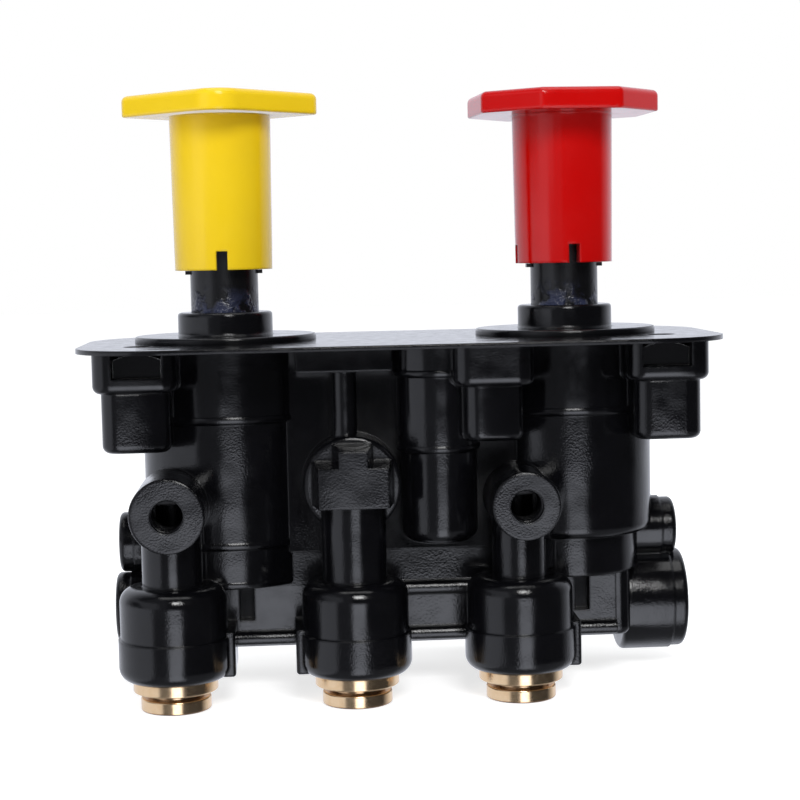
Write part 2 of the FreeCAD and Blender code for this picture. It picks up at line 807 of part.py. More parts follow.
manifold = block("manifold", "manifold_half_width", "manifold_front", "manifold_rear",
                 "manifold_bottom - manifold_top", "manifold_corner", "manifold_edge")
moulding.append(place(manifold, z="-manifold_top"))
moulding.append(cylinder("gallery_tube", "gallery_tube_radius", "plunger_pitch", "-plunger_pitch / 2", "0",
                         "-supply_level", TO_X))
riser_side = "-middle_port_x - passage_radius - core_rib - core_width / 2"
core_places = (
    f"{riser_side} - core_width - core_rib",
    riser_side,
    "-middle_port_x + passage_radius + core_rib + core_width / 2",
    "rear_port_x + supply_port_radius + core_rib + core_width / 2",
)
for index, x in enumerate(core_places):
    core = block(f"core_{index}", "core_width / 2", "core_height / 2", "core_height / 2", "core_depth",
                 "core_corner", "core_corner / 2")
    hollows.append(place(core, x, "manifold_rear", "-core_level", TO_Y))


def port_boss(label, radius, length):
    """A round boss with a stepped rim, from z = 0 to its face."""
    profile = [
        ("0", "0"),
        (radius, "0"),
        (radius, f"{length} - end_rim_length"),
        (f"{radius} - end_rim", f"{length} - end_rim_length"),
        (f"{radius} - end_rim", length),
        ("0", length),
    ]
    return turned(label, profile, [((1, 4), "end_round")])


rear_length = "rear_port_reach - rear_port_start"
end_ports = (
    ("left", "-", TO_MINUS_X, "exhaust_port_radius", "exhaust_port_reach", "-exhaust_port_level"),
    ("right", "", TO_X, "supply_port_radius", "end_port_reach", "-big_port_level"),
)
for hand, sign, turn, radius, reach, level in end_ports:
    big = port_boss(f"{hand}_end_boss", radius, f"{reach} - end_port_start")
    moulding.append(place(big, f"{sign}end_port_start", "end_port_y", level, turn))
    small = port_boss(f"{hand}_small_boss", "small_port_radius", "small_port_reach - small_port_start")
    moulding.append(place(small, f"{sign}small_port_start", "end_port_y", "-small_port_level", turn))
    back = TO_X if hand == "left" else TO_MINUS_X
    hollows.append(cylinder(f"{hand}_small_thread", "small_thread_radius", "small_thread_depth + overrun",
                            f"{sign}(small_port_reach + overrun)", "end_port_y", "-small_port_level", back))
rear_boss = port_boss("rear_boss", "supply_port_radius", rear_length)
moulding.append(place(rear_boss, "rear_port_x", "rear_port_start", "-big_port_level", TO_Y))
hollows.append(cylinder("supply_thread", "pipe_thread_radius", "pipe_thread_depth + overrun",
                        "end_port_reach + overrun", "end_port_y", "-big_port_level", TO_MINUS_X))
hollows.append(cylinder("rear_thread", "pipe_thread_radius", "pipe_thread_depth + overrun", "rear_port_x",
                        "rear_port_reach + overrun", "-big_port_level", TO_MINUS_Y))

# Exhaust port: an open recess, a grille that carries the flap, and the chamber behind it

grille_face = "-exhaust_port_reach + exhaust_bore_depth"
chamber_face = grille_face + " + grille_thickness"
hollows.append(cylinder("exhaust_recess", "exhaust_bore_radius", "exhaust_bore_depth + overrun",
                        "-exhaust_port_reach - overrun", "end_port_y", "-exhaust_port_level", TO_X))
hollows.append(cylinder("exhaust_chamber", "exhaust_bore_radius - grille_ledge", "exhaust_chamber_depth",
                        chamber_face, "end_port_y", "-exhaust_port_level", TO_X))
hollows.append(cylinder("flap_hole", "flap_stem_radius + running_gap", "grille_thickness + overrun * 2",
                        grille_face + " - overrun", "end_port_y", "-exhaust_port_level", TO_X))
for spoke in range(6):
    angle = spoke * 60
    hollows.append(cylinder(f"grille_hole_{spoke}", "grille_hole_radius", "grille_thickness + overrun * 2",
                            grille_face + " - overrun", f"end_port_y + grille_hole_circle * cos({angle} deg)",
                            f"-exhaust_port_level + grille_hole_circle * sin({angle} deg)", TO_X))

# Air passages inside the moulding

check_floor = "-check_bore_front"
hollows.append(cylinder("check_bore", "check_bore_radius", "check_bore_front + check_boss_rear - overrun",
                        "-middle_port_x", check_floor, "-check_level", TO_Y))
hollows.append(cylinder("check_thread", "check_thread_radius", "check_thread_depth + overrun", "-middle_port_x",
                        "check_boss_rear - check_thread_depth", "-check_level", TO_Y))
hollows.append(cylinder("check_feed", "check_seat_bore", "port_front - check_bore_front + overrun",
                        "-middle_port_x", "-port_front", "-check_level", TO_Y))
hollows.append(cylinder("supply_gallery", "gallery_radius", "plunger_pitch", "-plunger_pitch / 2", "0",
                        "-supply_level", TO_X))
exhaust_level = "-sleeve_bore_depth + exhaust_room / 2"
hollows.append(cylinder("exhaust_gallery", "exhaust_gallery_radius", "plunger_pitch", "-plunger_pitch / 2",
                        "end_port_y / 2", exhaust_level, TO_X))
hollows.append(cylinder("exhaust_drop", "gallery_radius", f"{exhaust_level} + exhaust_port_level",
                        "-exhaust_drop_x", "end_port_y", "-exhaust_port_level"))
hollows.append(cylinder("primary_gallery", "passage_radius",
                        "end_port_reach - pipe_thread_depth + middle_port_x + overrun",
                        "-middle_port_x", "end_port_y", "-big_port_level", TO_X))
hollows.append(cylinder("primary_riser", "passage_radius", "big_port_level - check_level", "-middle_port_x",
                        "end_port_y + passage_radius", "-big_port_level"))

body_solid = fused("body_solid", moulding, merge_faces=False)
keep(cut("body_shell", body_solid, hollows, merge_faces=False), "valve_body")
group("mounting_nuts", nuts)

# Plunger guides, which snap into the barrels and carry the stem's O-ring

stem_bore = "stem_radius + running_gap"
spigot = "chamber_radius - running_gap"
stem_ring_radius = "stem_radius + seal_gap + stem_ring_wire"
guide_ring_radius = "chamber_radius - seal_gap - guide_ring_wire"
stem_groove = ["-guide_groove_place - stem_ring_wire - groove_slack",
               "-guide_groove_place + stem_ring_wire + groove_slack"]
guide_groove = ["-guide_groove_place - guide_ring_wire - groove_slack",
                "-guide_groove_place + guide_ring_wire + groove_slack"]
guide_profile = [
    (stem_bore, "-guide_length"),
    (spigot, "-guide_length"),
    (spigot, "-snap_place - snap_length"),
    (f"{spigot} + snap_depth - running_gap", "-snap_place - snap_length"),
    (f"{spigot} + snap_depth - running_gap", "-snap_place"),
    (spigot, "-snap_place"),
    (spigot, guide_groove[0]),
    (f"{guide_ring_radius} - guide_ring_wire - seal_gap", guide_groove[0]),
    (f"{guide_ring_radius} - guide_ring_wire - seal_gap", guide_groove[1]),
    (spigot, guide_groove[1]),
    (spigot, "0"),
    ("guide_disc_radius", "0"),
    ("guide_disc_radius", "guide_disc_thickness"),
    ("collar_radius", "guide_disc_thickness"),
    ("collar_radius", "guide_disc_thickness + collar_height"),
    (stem_bore, "guide_disc_thickness + collar_height"),
    (stem_bore, stem_groove[1]),
    (f"{stem_ring_radius} + stem_ring_wire + seal_gap", stem_groove[1]),
    (f"{stem_ring_radius} + stem_ring_wire + seal_gap", stem_groove[0]),
    (stem_bore, stem_groove[0]),
]
for side, x in SIDES.items():
    guide = turned(f"{side}_guide", guide_profile, [((14,), "collar_edge"), ((12, 13), "guide_disc_edge")])
    keep(place(guide, x), f"{side}_plunger_guide")
    keep(torus(f"{side}_stem_ring", stem_ring_radius, "stem_ring_wire", x, z="-guide_groove_place"),
         f"{side}_stem_o_ring")
    keep(torus(f"{side}_guide_ring", guide_ring_radius, "guide_ring_wire", x, z="-guide_groove_place"),
         f"{side}_guide_o_ring")

# Plungers: a stem with two lugs under the knob, a shoulder that stops under the guide, and a shank

knob_bottom = "guide_disc_thickness + collar_height + stop_gap + plunger_travel + lug_height + lug_gap"
shoulder_top = "-guide_length - stop_gap"
shoulder_bottom = shoulder_top + " - shoulder_thickness"
screw_hole_top = "-shank_seat + screw_grip + overrun"
plunger_profile = [
    ("0", "stem_top"),
    ("stem_radius", "stem_top"),
    ("stem_radius", shoulder_top),
    ("shoulder_radius", shoulder_top),
    ("shoulder_radius", shoulder_bottom),
    ("shank_radius", shoulder_bottom),
    ("shank_radius", "-shank_seat"),
    ("screw_radius + running_gap", "-shank_seat"),
    ("screw_radius + running_gap", screw_hole_top),
    ("0", screw_hole_top),
]
for side, x in SIDES.items():
    stem = turned(f"{side}_stem", plunger_profile, [((1,), "collar_edge")])
    lugs = box(f"{side}_lugs", "(stem_radius + lug_reach) * 2", "lug_width", "lug_height",
               "-stem_radius - lug_reach", "-lug_width / 2", f"{knob_bottom} - lug_gap - lug_height")
    keep(place(fused(f"{side}_plunger_form", [stem, lugs]), x), f"{side}_plunger")

# Springs between each plunger's shoulder and the spool sleeve

SPRING_STEPS = 12
WIRE_SIDES = 6


def coil(label, coil_radius, wire_radius, height, turns):
    """A round-wire spring that stands on z = 0, lofted through sections set square to the wire."""
    radius, wire, tall, count = (number(size) for size in (coil_radius, wire_radius, height, turns))
    steps = int(count * SPRING_STEPS)
    slope = (tall - 2 * wire) / (2 * math.pi * count)
    sections = []
    for step in range(steps + 1):
        angle = 2 * math.pi * count * step / steps
        outward = Vector(math.cos(angle), math.sin(angle), 0)
        forward = Vector(-radius * math.sin(angle), radius * math.cos(angle), slope).normalize()
        upward = outward.cross(forward).normalize()
        centre = outward * radius + Vector(0, 0, wire + slope * angle)
        corners = []
        for side in range(WIRE_SIDES):
            around = 2 * math.pi * side / WIRE_SIDES
            corners.append(centre + outward * (wire * math.cos(around)) + upward * (wire * math.sin(around)))
        sections.append(Part.makePolygon(corners + corners[:1]))
    spring = doc.addObject("Part::Feature", label)
    spring.Shape = Part.makeLoft(sections, True, True)
    return spring


sleeve_seat = "-chamber_depth + sleeve_flange_thickness"
spring_bottom = sleeve_seat + " + stop_gap"
spring_height = f"{shoulder_bottom} - stop_gap - ({spring_bottom})"
for side, x in SIDES.items():
    spring = coil(f"{side}_coil", "spring_coil_radius", "spring_wire_radius", spring_height, "spring_turns")
    keep(place(spring, x, z=spring_bottom), f"{side}_plunger_spring")

# Spool sleeves. Round grooves carry the supply and delivery air to their radial holes.

sleeve_outside = "sleeve_bore_radius - running_gap"
sleeve_ring_radius = "sleeve_bore_radius - seal_gap - sleeve_ring_wire"
sleeve_floor = f"{sleeve_ring_radius} - sleeve_ring_wire - seal_gap"
sleeve_bottom = "-sleeve_bore_depth + exhaust_room"
sleeve_profile = [
    ("sleeve_bore", f"{sleeve_seat} + sleeve_neck_height"),
    ("sleeve_bore", sleeve_bottom),
    (sleeve_outside, sleeve_bottom),
]
sleeve_grooves = [
    ("sleeve_low_ring", "sleeve_ring_wire + groove_slack"),
    ("delivery_level", "sleeve_port_radius"),
    ("sleeve_middle_ring", "sleeve_ring_wire + groove_slack"),
    ("supply_level", "sleeve_port_radius"),
    ("sleeve_top_ring", "sleeve_ring_wire + groove_slack"),
]
for level, half in sleeve_grooves:
    sleeve_profile += [
        (sleeve_outside, f"-{level} - ({half})"),
        (sleeve_floor, f"-{level} - ({half})"),
        (sleeve_floor, f"-{level} + {half}"),
        (sleeve_outside, f"-{level} + {half}"),
    ]
sleeve_profile += [
    (sleeve_outside, "-chamber_depth"),
    ("chamber_radius - running_gap", "-chamber_depth"),
    ("chamber_radius - running_gap", sleeve_seat),
    ("sleeve_neck_radius", sleeve_seat),
    ("sleeve_neck_radius", f"{sleeve_seat} + sleeve_neck_height"),
]
for side, x in SIDES.items():
    sleeve = turned(f"{side}_sleeve", sleeve_profile)
    ports = []
    for level in ("supply_level", "delivery_level"):
        for axis, turn in (("x", TO_X), ("y", TO_Y)):
            shift = {axis: "-sleeve_bore_radius"}
            ports.append(cylinder(f"{side}_{level}_{axis}", "sleeve_port_radius", "sleeve_bore_radius * 2",
                                  z=f"-{level}", turn=turn, **shift))
    keep(place(cut(f"{side}_sleeve_form", sleeve, ports), x), f"{side}_spool_sleeve")
    rings = [torus(f"{side}_{level}_wire", sleeve_ring_radius, "sleeve_ring_wire", x, z=f"-{level}")
             for level in ("sleeve_top_ring", "sleeve_middle_ring", "sleeve_low_ring")]
    group(f"{side}_sleeve_o_rings", rings)

# Spools with two O-rings, each held to its plunger by a screw from below

spool_land = "sleeve_bore - running_gap"
spool_ring_radius = "sleeve_bore - seal_gap - spool_ring_wire"
spool_floor = f"{spool_ring_radius} - spool_ring_wire - seal_gap"
ring_half = "spool_ring_wire + groove_slack"
screw_hole = "screw_radius + running_gap"
recess_top = "-spool_bottom + screw_recess"
spool_profile = [
    ("shank_radius + running_gap", "-spool_top"),
    ("shank_radius + running_gap", "-shank_seat"),
    (screw_hole, "-shank_seat"),
    (screw_hole, recess_top),
    ("screw_head_radius + stop_gap", recess_top),
    ("screw_head_radius + stop_gap", "-spool_bottom"),
    (spool_land, "-spool_bottom"),
    (spool_land, f"-spool_low_ring - ({ring_half})"),
    (spool_floor, f"-spool_low_ring - ({ring_half})"),
    (spool_floor, f"-spool_low_ring + {ring_half}"),
    (spool_land, f"-spool_low_ring + {ring_half}"),
    (spool_land, "-spool_waist_bottom"),
    ("spool_waist_radius", "-spool_waist_bottom"),
    ("spool_waist_radius", "-spool_waist_top"),
    (spool_land, "-spool_waist_top"),
    (spool_land, f"-spool_top_ring - ({ring_half})"),
    (spool_floor, f"-spool_top_ring - ({ring_half})"),
    (spool_floor, f"-spool_top_ring + {ring_half}"),
    (spool_land, f"-spool_top_ring + {ring_half}"),
    (spool_land, "-spool_top"),
]
screw_profile = [
    ("0", f"{recess_top} - screw_head_height"),
    ("screw_head_radius", f"{recess_top} - screw_head_height"),
    ("screw_head_radius", recess_top),
    ("screw_radius", recess_top),
    ("screw_radius", "-shank_seat + screw_grip"),
    ("0", "-shank_seat + screw_grip"),
]
for side, x in SIDES.items():
    keep(place(turned(f"{side}_spool_form", spool_profile), x), f"{side}_spool")
    rings = [torus(f"{side}_{level}_wire", spool_ring_radius, "spool_ring_wire", x, z=f"-{level}")
             for level in ("spool_top_ring", "spool_low_ring")]
    group(f"{side}_spool_o_rings", rings)
    screw = turned(f"{side}_screw_form", screw_profile, [((1,), "screw_head_height / 4")])
    socket = prism(f"{side}_screw_socket", 6, "screw_radius * 1.5", "screw_head_height / 2 + overrun",
                   z=f"{recess_top} - screw_head_height - overrun")
    keep(place(cut(f"{side}_screw_cut", screw, [socket]), x), f"{side}_spool_screw")

# Knobs: a hollow tube with four slots at its foot and a polygon head, a diamond and an octagon

knob_bore = "stem_radius + running_gap"
diamond = [("diamond_half", "0"), ("0", "diamond_half"), ("-diamond_half", "0"), ("0", "-diamond_half")]
half, flat = "octagon_half", "octagon_flat / 2"
octagon = [
    (half, f"-{flat}"), (half, flat), (flat, half), (f"-{flat}", half),
    (f"-{half}", flat), (f"-{half}", f"-{flat}"), (f"-{flat}", f"-{half}"), (flat, f"-{half}"),
]


def corner_edges(shape, outline, sideways):
    """Names of the upright edges on the corners of an outline, those to the sides or those fore and aft."""
    corners = [Vector(number(across), number(along), 0) for across, along in outline]
    names = []
    for index, edge in enumerate(shape.Edges, start=1):
        reach = edge.BoundBox
        spot = Vector(reach.Center.x, reach.Center.y, 0)
        upright = reach.XLength + reach.YLength < 1e-6
        on_corner = any(spot.distanceToPoint(corner) < 1e-4 for corner in corners)
        if upright and on_corner and (abs(spot.x) > abs(spot.y)) == sideways:
            names.append(f"Edge{index}")
    return names


def knob_head(label, outline, side_corner, front_corner, bottom):
    """The flat head of a knob, with rounded corners and edges."""
    body = doc.addObject("PartDesign::Body", label)
    body.Label = label
    sketch = new_sketch(body, "XY_Plane")
    draw_outline(sketch, outline)
    pad = body.newObject("PartDesign::Pad", "Pad")
    pad.Profile = sketch
    bind(pad, Length="knob_head_thickness")
    last = settle(pad)
    last = rounded(body, last, corner_edges(last.Shape, outline, True), side_corner)
    last = rounded(body, last, corner_edges(last.Shape, outline, False), front_corner)
    last = rounded(body, last, level_edges(last.Shape, number("knob_head_thickness")), "knob_edge")
    rounded(body, last, level_edges(last.Shape, 0), "knob_edge / 3")
    return place(body, z=bottom)


knob_forms = (
    ("park", diamond, "diamond_side_corner", "diamond_front_corner", 0),
    ("trailer", octagon, "octagon_corner", "octagon_corner", number("octagon_twist")),
)
for side, outline, side_corner, front_corner, twist in knob_forms:
    head_bottom = f"{side}_head_bottom"
    tube = turned(f"{side}_knob_tube", [
        (knob_bore, knob_bottom),
        ("knob_tube_radius", knob_bottom),
        ("knob_tube_top_radius", head_bottom),
        ("0", head_bottom),
        ("0", "stem_top + stop_gap"),
        (knob_bore, "stem_top + stop_gap"),
    ])
    head = knob_head(f"{side}_knob_head", outline, side_corner, front_corner, head_bottom)
    reach = "knob_tube_top_radius * 2"
    slots = [
        box(f"{side}_slot_across", reach, "knob_slot_width", "knob_slot_height + overrun",
            "-knob_tube_top_radius", "-knob_slot_width / 2", f"{knob_bottom} - overrun"),
        box(f"{side}_slot_along", "knob_slot_width", reach, "knob_slot_height + overrun",
            "-knob_slot_width / 2", "-knob_tube_top_radius", f"{knob_bottom} - overrun"),
    ]
    knob = cut(f"{side}_knob_form", fused(f"{side}_knob_solid", [tube, head]), slots)
    keep(place(knob, SIDES[side], turn=Rotation(Vector(0, 0, 1), twist)), f"{side}_knob")

# Fittings of the tube ports: brass cap, sliding collet, tube O-ring and tube support

cap_bottom = "-port_bottom - cap_flange_height"
cap_top = bore_end + " - stop_gap / 2"
ledge = f"{cap_top} - collet_ledge"
bead_room = "collet_outer_radius + collet_bead + running_gap * 2"
cap_profile = [
    ("collet_outer_radius + running_gap", cap_bottom),
    ("cap_flange_radius", cap_bottom),
    ("cap_flange_radius", "-port_bottom"),
    ("fitting_bore_radius - running_gap", "-port_bottom"),
    ("fitting_bore_radius - running_gap", cap_top),
    (bead_room, cap_top),
    (bead_room, ledge),
    ("collet_outer_radius + running_gap", ledge),
]
head_top = f"{cap_bottom} - collet_travel - stop_gap / 2"
head_bottom = f"{head_top} - collet_head_height"
bead_bottom = f"{ledge} + stop_gap / 2"
collet_top = f"{bead_bottom} + collet_bead_length"
collet_profile = [
    ("tube_radius", head_bottom),
    ("collet_head_radius", head_bottom),
    ("collet_head_radius", head_top),
    ("collet_outer_radius", head_top),
    ("collet_outer_radius", bead_bottom),
    ("collet_outer_radius + collet_bead", bead_bottom),
    ("collet_outer_radius + collet_bead", collet_top),
    ("tube_radius", collet_top),
]
support_profile = [
    ("support_radius - support_wall", socket_end),
    ("tube_radius", socket_end),
    ("tube_radius", f"{socket_end} - support_flange"),
    ("support_radius", f"{socket_end} - support_flange"),
    ("support_radius", f"{socket_end} - support_length"),
    ("support_radius - support_wall", f"{socket_end} - support_length"),
]
for port, (x, _) in PORTS.items():
    cap = turned(f"{port}_cap_form", cap_profile, [((1,), "cap_edge")])
    keep(place(cap, x, "-port_front"), f"{port}_port_cap")
    collet = turned(f"{port}_collet_form", collet_profile, [((1, 2), "cap_edge")])
    slot_bottom = f"{collet_top} - collet_slot_length"
    slots = [
        box(f"{port}_slot_across", "fitting_bore_radius * 2", "collet_slot_width",
            "collet_slot_length + overrun", "-fitting_bore_radius", "-collet_slot_width / 2", slot_bottom),
        box(f"{port}_slot_along", "collet_slot_width", "fitting_bore_radius * 2",
            "collet_slot_length + overrun", "-collet_slot_width / 2", "-fitting_bore_radius", slot_bottom),
    ]
    keep(place(cut(f"{port}_collet_cut", collet, slots), x, "-port_front"), f"{port}_port_collet")
    keep(torus(f"{port}_tube_wire", "tube_radius + seal_gap + tube_ring_wire", "tube_ring_wire", x,
               "-port_front", f"{bore_end} + ring_room_depth / 2"), f"{port}_port_o_ring")
    keep(place(turned(f"{port}_support_form", support_profile), x, "-port_front"), f"{port}_tube_support")

# Double check valve: seat sleeve, shuttle with a rubber seal at each end, cap and its O-ring.
# Each is drawn along Z from the front end of the bore and then laid along Y.

shuttle_start = "shuttle_travel + stop_gap"
shuttle_end = f"check_bore_front + check_seat_front - ({shuttle_start})"
land_radius = "check_bore_radius - running_gap"
seal_depth = "shuttle_seal_height - stop_gap * 2"
shuttle_profile = [
    ("0", f"{shuttle_start} + {seal_depth}"),
    ("shuttle_seal_radius", f"{shuttle_start} + {seal_depth}"),
    ("shuttle_seal_radius", shuttle_start + " + stop_gap * 2"),
    (land_radius, shuttle_start + " + stop_gap * 2"),
    (land_radius, f"{shuttle_start} + shuttle_land"),
    ("shuttle_waist", f"{shuttle_start} + shuttle_land"),
    ("shuttle_waist", f"{shuttle_end} - shuttle_land"),
    (land_radius, f"{shuttle_end} - shuttle_land"),
    (land_radius, shuttle_end + " - stop_gap * 2"),
    ("shuttle_seal_radius", shuttle_end + " - stop_gap * 2"),
    ("shuttle_seal_radius", f"{shuttle_end} - ({seal_depth})"),
    ("0", f"{shuttle_end} - ({seal_depth})"),
]
check_x, check_z = "-middle_port_x", "-check_level"


def along_bore(item):
    return place(item, check_x, check_floor, check_z, TO_Y)


flutes = [cylinder(f"flute_{index}", "shuttle_land", f"{shuttle_end} - ({shuttle_start}) + overrun * 2",
                   f"(check_bore_radius + shuttle_land / 2) * cos({index * 90} deg)",
                   f"(check_bore_radius + shuttle_land / 2) * sin({index * 90} deg)",
                   f"{shuttle_start} - overrun")
          for index in range(4)]
keep(along_bore(cut("shuttle_form", turned("shuttle_blank", shuttle_profile), flutes)), "check_shuttle")
seals = []
for end, low, high in (("front", shuttle_start, f"{shuttle_start} + {seal_depth}"),
                       ("rear", f"{shuttle_end} - ({seal_depth})", shuttle_end)):
    seal_radius = "shuttle_seal_radius - running_gap"
    seal_profile = [("0", low), (seal_radius, low), (seal_radius, high), ("0", high)]
    seals.append(along_bore(turned(f"{end}_shuttle_seal", seal_profile)))
group("shuttle_seals", seals)

seat_start = "check_bore_front + check_seat_front"
seat_end = "check_bore_front + check_boss_rear - check_thread_depth - stop_gap / 2"
seat_profile = [
    ("check_seat_bore", seat_start),
    ("check_seat_bore + check_seat_lip", seat_start),
    (land_radius, seat_start + " + check_seat_lip"),
    (land_radius, seat_end),
    ("check_seat_bore", seat_end),
]
seat_window = cylinder("seat_window", "gallery_radius", "check_bore_radius + overrun",
                       z="check_bore_front + end_port_y + passage_radius", turn=TO_Y)
keep(along_bore(cut("seat_form", turned("seat_blank", seat_profile), [seat_window])), "check_seat_sleeve")
cap_inner = "check_bore_front + check_boss_rear - check_thread_depth + stop_gap / 2"
cap_face = "check_bore_front + check_boss_rear"
check_ring_place = f"{cap_face} - check_cap_groove"
check_ring_radius = "check_thread_radius - seal_gap - check_ring_wire"
check_groove = [f"{check_ring_place} - check_ring_wire - groove_slack",
                f"{check_ring_place} + check_ring_wire + groove_slack"]
check_cap_profile = [
    ("0", cap_inner),
    ("check_thread_radius - running_gap", cap_inner),
    ("check_thread_radius - running_gap", check_groove[0]),
    (f"{check_ring_radius} - check_ring_wire - seal_gap", check_groove[0]),
    (f"{check_ring_radius} - check_ring_wire - seal_gap", check_groove[1]),
    ("check_thread_radius - running_gap", check_groove[1]),
    ("check_thread_radius - running_gap", cap_face),
    ("check_boss_radius - check_boss_edge", cap_face),
    ("check_boss_radius - check_boss_edge", f"{cap_face} + check_boss_edge"),
    ("0", f"{cap_face} + check_boss_edge"),
]
cap_blank = turned("check_cap_blank", check_cap_profile)
cap_hex = prism("check_cap_hex", 6, "check_cap_flats", "check_cap_head", z=cap_face)
keep(along_bore(fused("check_cap_form", [cap_blank, cap_hex])), "check_valve_cap")
keep(torus("check_ring", check_ring_radius, "check_ring_wire", check_x, f"{check_floor} + {check_ring_place}",
           check_z, TO_Y), "check_cap_o_ring")

# Pipe plugs in the small end ports

for hand, sign, turn in (("left", "-", TO_MINUS_X), ("right", "", TO_X)):
    start = "small_port_reach - plug_inset - plug_length"
    plug = turned(f"{hand}_plug_form", [("0", "0"), ("small_thread_radius - running_gap", "0"),
                                        ("small_thread_radius - running_gap", "plug_length"),
                                        ("0", "plug_length")], [((2,), "plug_inset")])
    key = prism(f"{hand}_plug_key", 6, "plug_hex", "plug_hex_depth + overrun", z="plug_length - plug_hex_depth")
    drilled = cut(f"{hand}_plug_cut", plug, [key])
    keep(place(drilled, f"{sign}({start})", "end_port_y", "-small_port_level", turn), f"{hand}_port_plug")

# Rubber flap over the exhaust grille, pulled through its middle hole by a bulb on the stem

flap_profile = [
    ("0", "stop_gap + flap_thickness"),
    ("flap_radius / 2", "stop_gap + flap_thickness"),
    ("flap_radius", "stop_gap + flap_thickness / 2"),
    ("flap_radius", "stop_gap"),
    ("flap_stem_radius", "stop_gap"),
    ("flap_stem_radius", "-grille_thickness - stop_gap / 2"),
    ("flap_bulb_radius", "-grille_thickness - stop_gap / 2"),
    ("flap_stem_radius / 2", "-grille_thickness - flap_bulb_length"),
    ("0", "-grille_thickness - flap_bulb_length"),
]
keep(place(turned("flap_form", flap_profile), grille_face, "end_port_y", "-exhaust_port_level", TO_MINUS_X),
     "exhaust_flap")

# Every object is sound, and each sub-part goes to its own file

doc.recompute()
for item in doc.Objects:
    if "Invalid" in item.State or "Error" in item.State:
        raise RuntimeError(f"{item.Label} failed: {item.State}")
os.makedirs("parts", exist_ok=True)
for item in subparts:
    shape = item.Shape
    if shape.isNull() or not shape.isValid() or not shape.Solids:
        raise RuntimeError(f"{item.Label} has no sound shape")
    shape.exportStep(f"parts/{item.Label}.step")
    print(f"{item.Label}: {len(shape.Solids)} solids, {shape.Volume:.0f} mm3")
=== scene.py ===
"""Dresses the two-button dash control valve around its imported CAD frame.

The valve hangs below the dashboard plane z = 0 and its knobs stand above it. The front, with the tube ports,
faces -Y. Lengths in the classes are millimetres, and Blender's are metres.
"""

import json
import logging
import math
from collections.abc import Iterable
from dataclasses import dataclass
from enum import Enum

import bpy
from mathutils import Matrix, Vector


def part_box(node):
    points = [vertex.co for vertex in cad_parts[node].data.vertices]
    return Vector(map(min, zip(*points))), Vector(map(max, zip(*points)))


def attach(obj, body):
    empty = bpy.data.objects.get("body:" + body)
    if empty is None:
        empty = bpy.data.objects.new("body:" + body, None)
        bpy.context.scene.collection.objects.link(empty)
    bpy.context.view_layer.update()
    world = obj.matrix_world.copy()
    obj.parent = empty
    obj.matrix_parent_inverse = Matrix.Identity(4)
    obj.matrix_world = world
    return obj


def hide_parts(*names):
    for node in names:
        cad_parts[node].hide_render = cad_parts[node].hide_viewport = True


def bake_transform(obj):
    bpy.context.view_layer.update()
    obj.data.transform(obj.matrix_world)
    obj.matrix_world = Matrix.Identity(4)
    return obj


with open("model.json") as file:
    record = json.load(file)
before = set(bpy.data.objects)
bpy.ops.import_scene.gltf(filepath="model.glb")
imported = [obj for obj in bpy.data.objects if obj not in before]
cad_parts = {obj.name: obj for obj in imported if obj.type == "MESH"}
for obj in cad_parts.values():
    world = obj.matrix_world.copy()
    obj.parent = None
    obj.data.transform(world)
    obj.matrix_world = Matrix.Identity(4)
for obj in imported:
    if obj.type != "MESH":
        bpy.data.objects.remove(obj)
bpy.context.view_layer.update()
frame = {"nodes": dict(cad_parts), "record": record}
MM = 0.001
LOG = logging.getLogger("dash_valve")
Colour = tuple[float, float, float]
Point = tuple[float, float, float]
Pair = tuple[float, float]
Limits = tuple[float, float, float, float]
WHITE = (1.0, 1.0, 1.0, 1.0)
ORIGIN: Point = (0.0, 0.0, 0.0)
OPEN: Limits = (-3.0, -2.0, 2.0, 3.0)


class Slot(Enum):
    """Material slots that the record names."""

    BLACK_NYLON = "black_nylon"
    BLACK_ACETAL = "black_acetal"
    BLACK_RUBBER = "black_rubber"
    BLACK_STEEL = "black_steel"
    ZINC_STEEL = "zinc_steel"
    SPRING_STEEL = "spring_steel"
    YELLOW_PLASTIC = "yellow_plastic"
    RED_PLASTIC = "red_plastic"
    SATIN_BRASS = "satin_brass"


class Heading(Enum):
    """Directions in which a bore runs into the valve."""

    LEFT = (-1.0, 0.0, 0.0)
    FORWARD = (0.0, -1.0, 0.0)
    BACK = (0.0, 1.0, 0.0)


@dataclass(frozen=True)
class ShapedFace:
    """A face at the front that its draft leans and turns and its crown bows, found by the box it lies in."""

    low: Point
    high: Point
    lean: float = 0.0
    turn: float = 0.0
    crown: float = 0.0


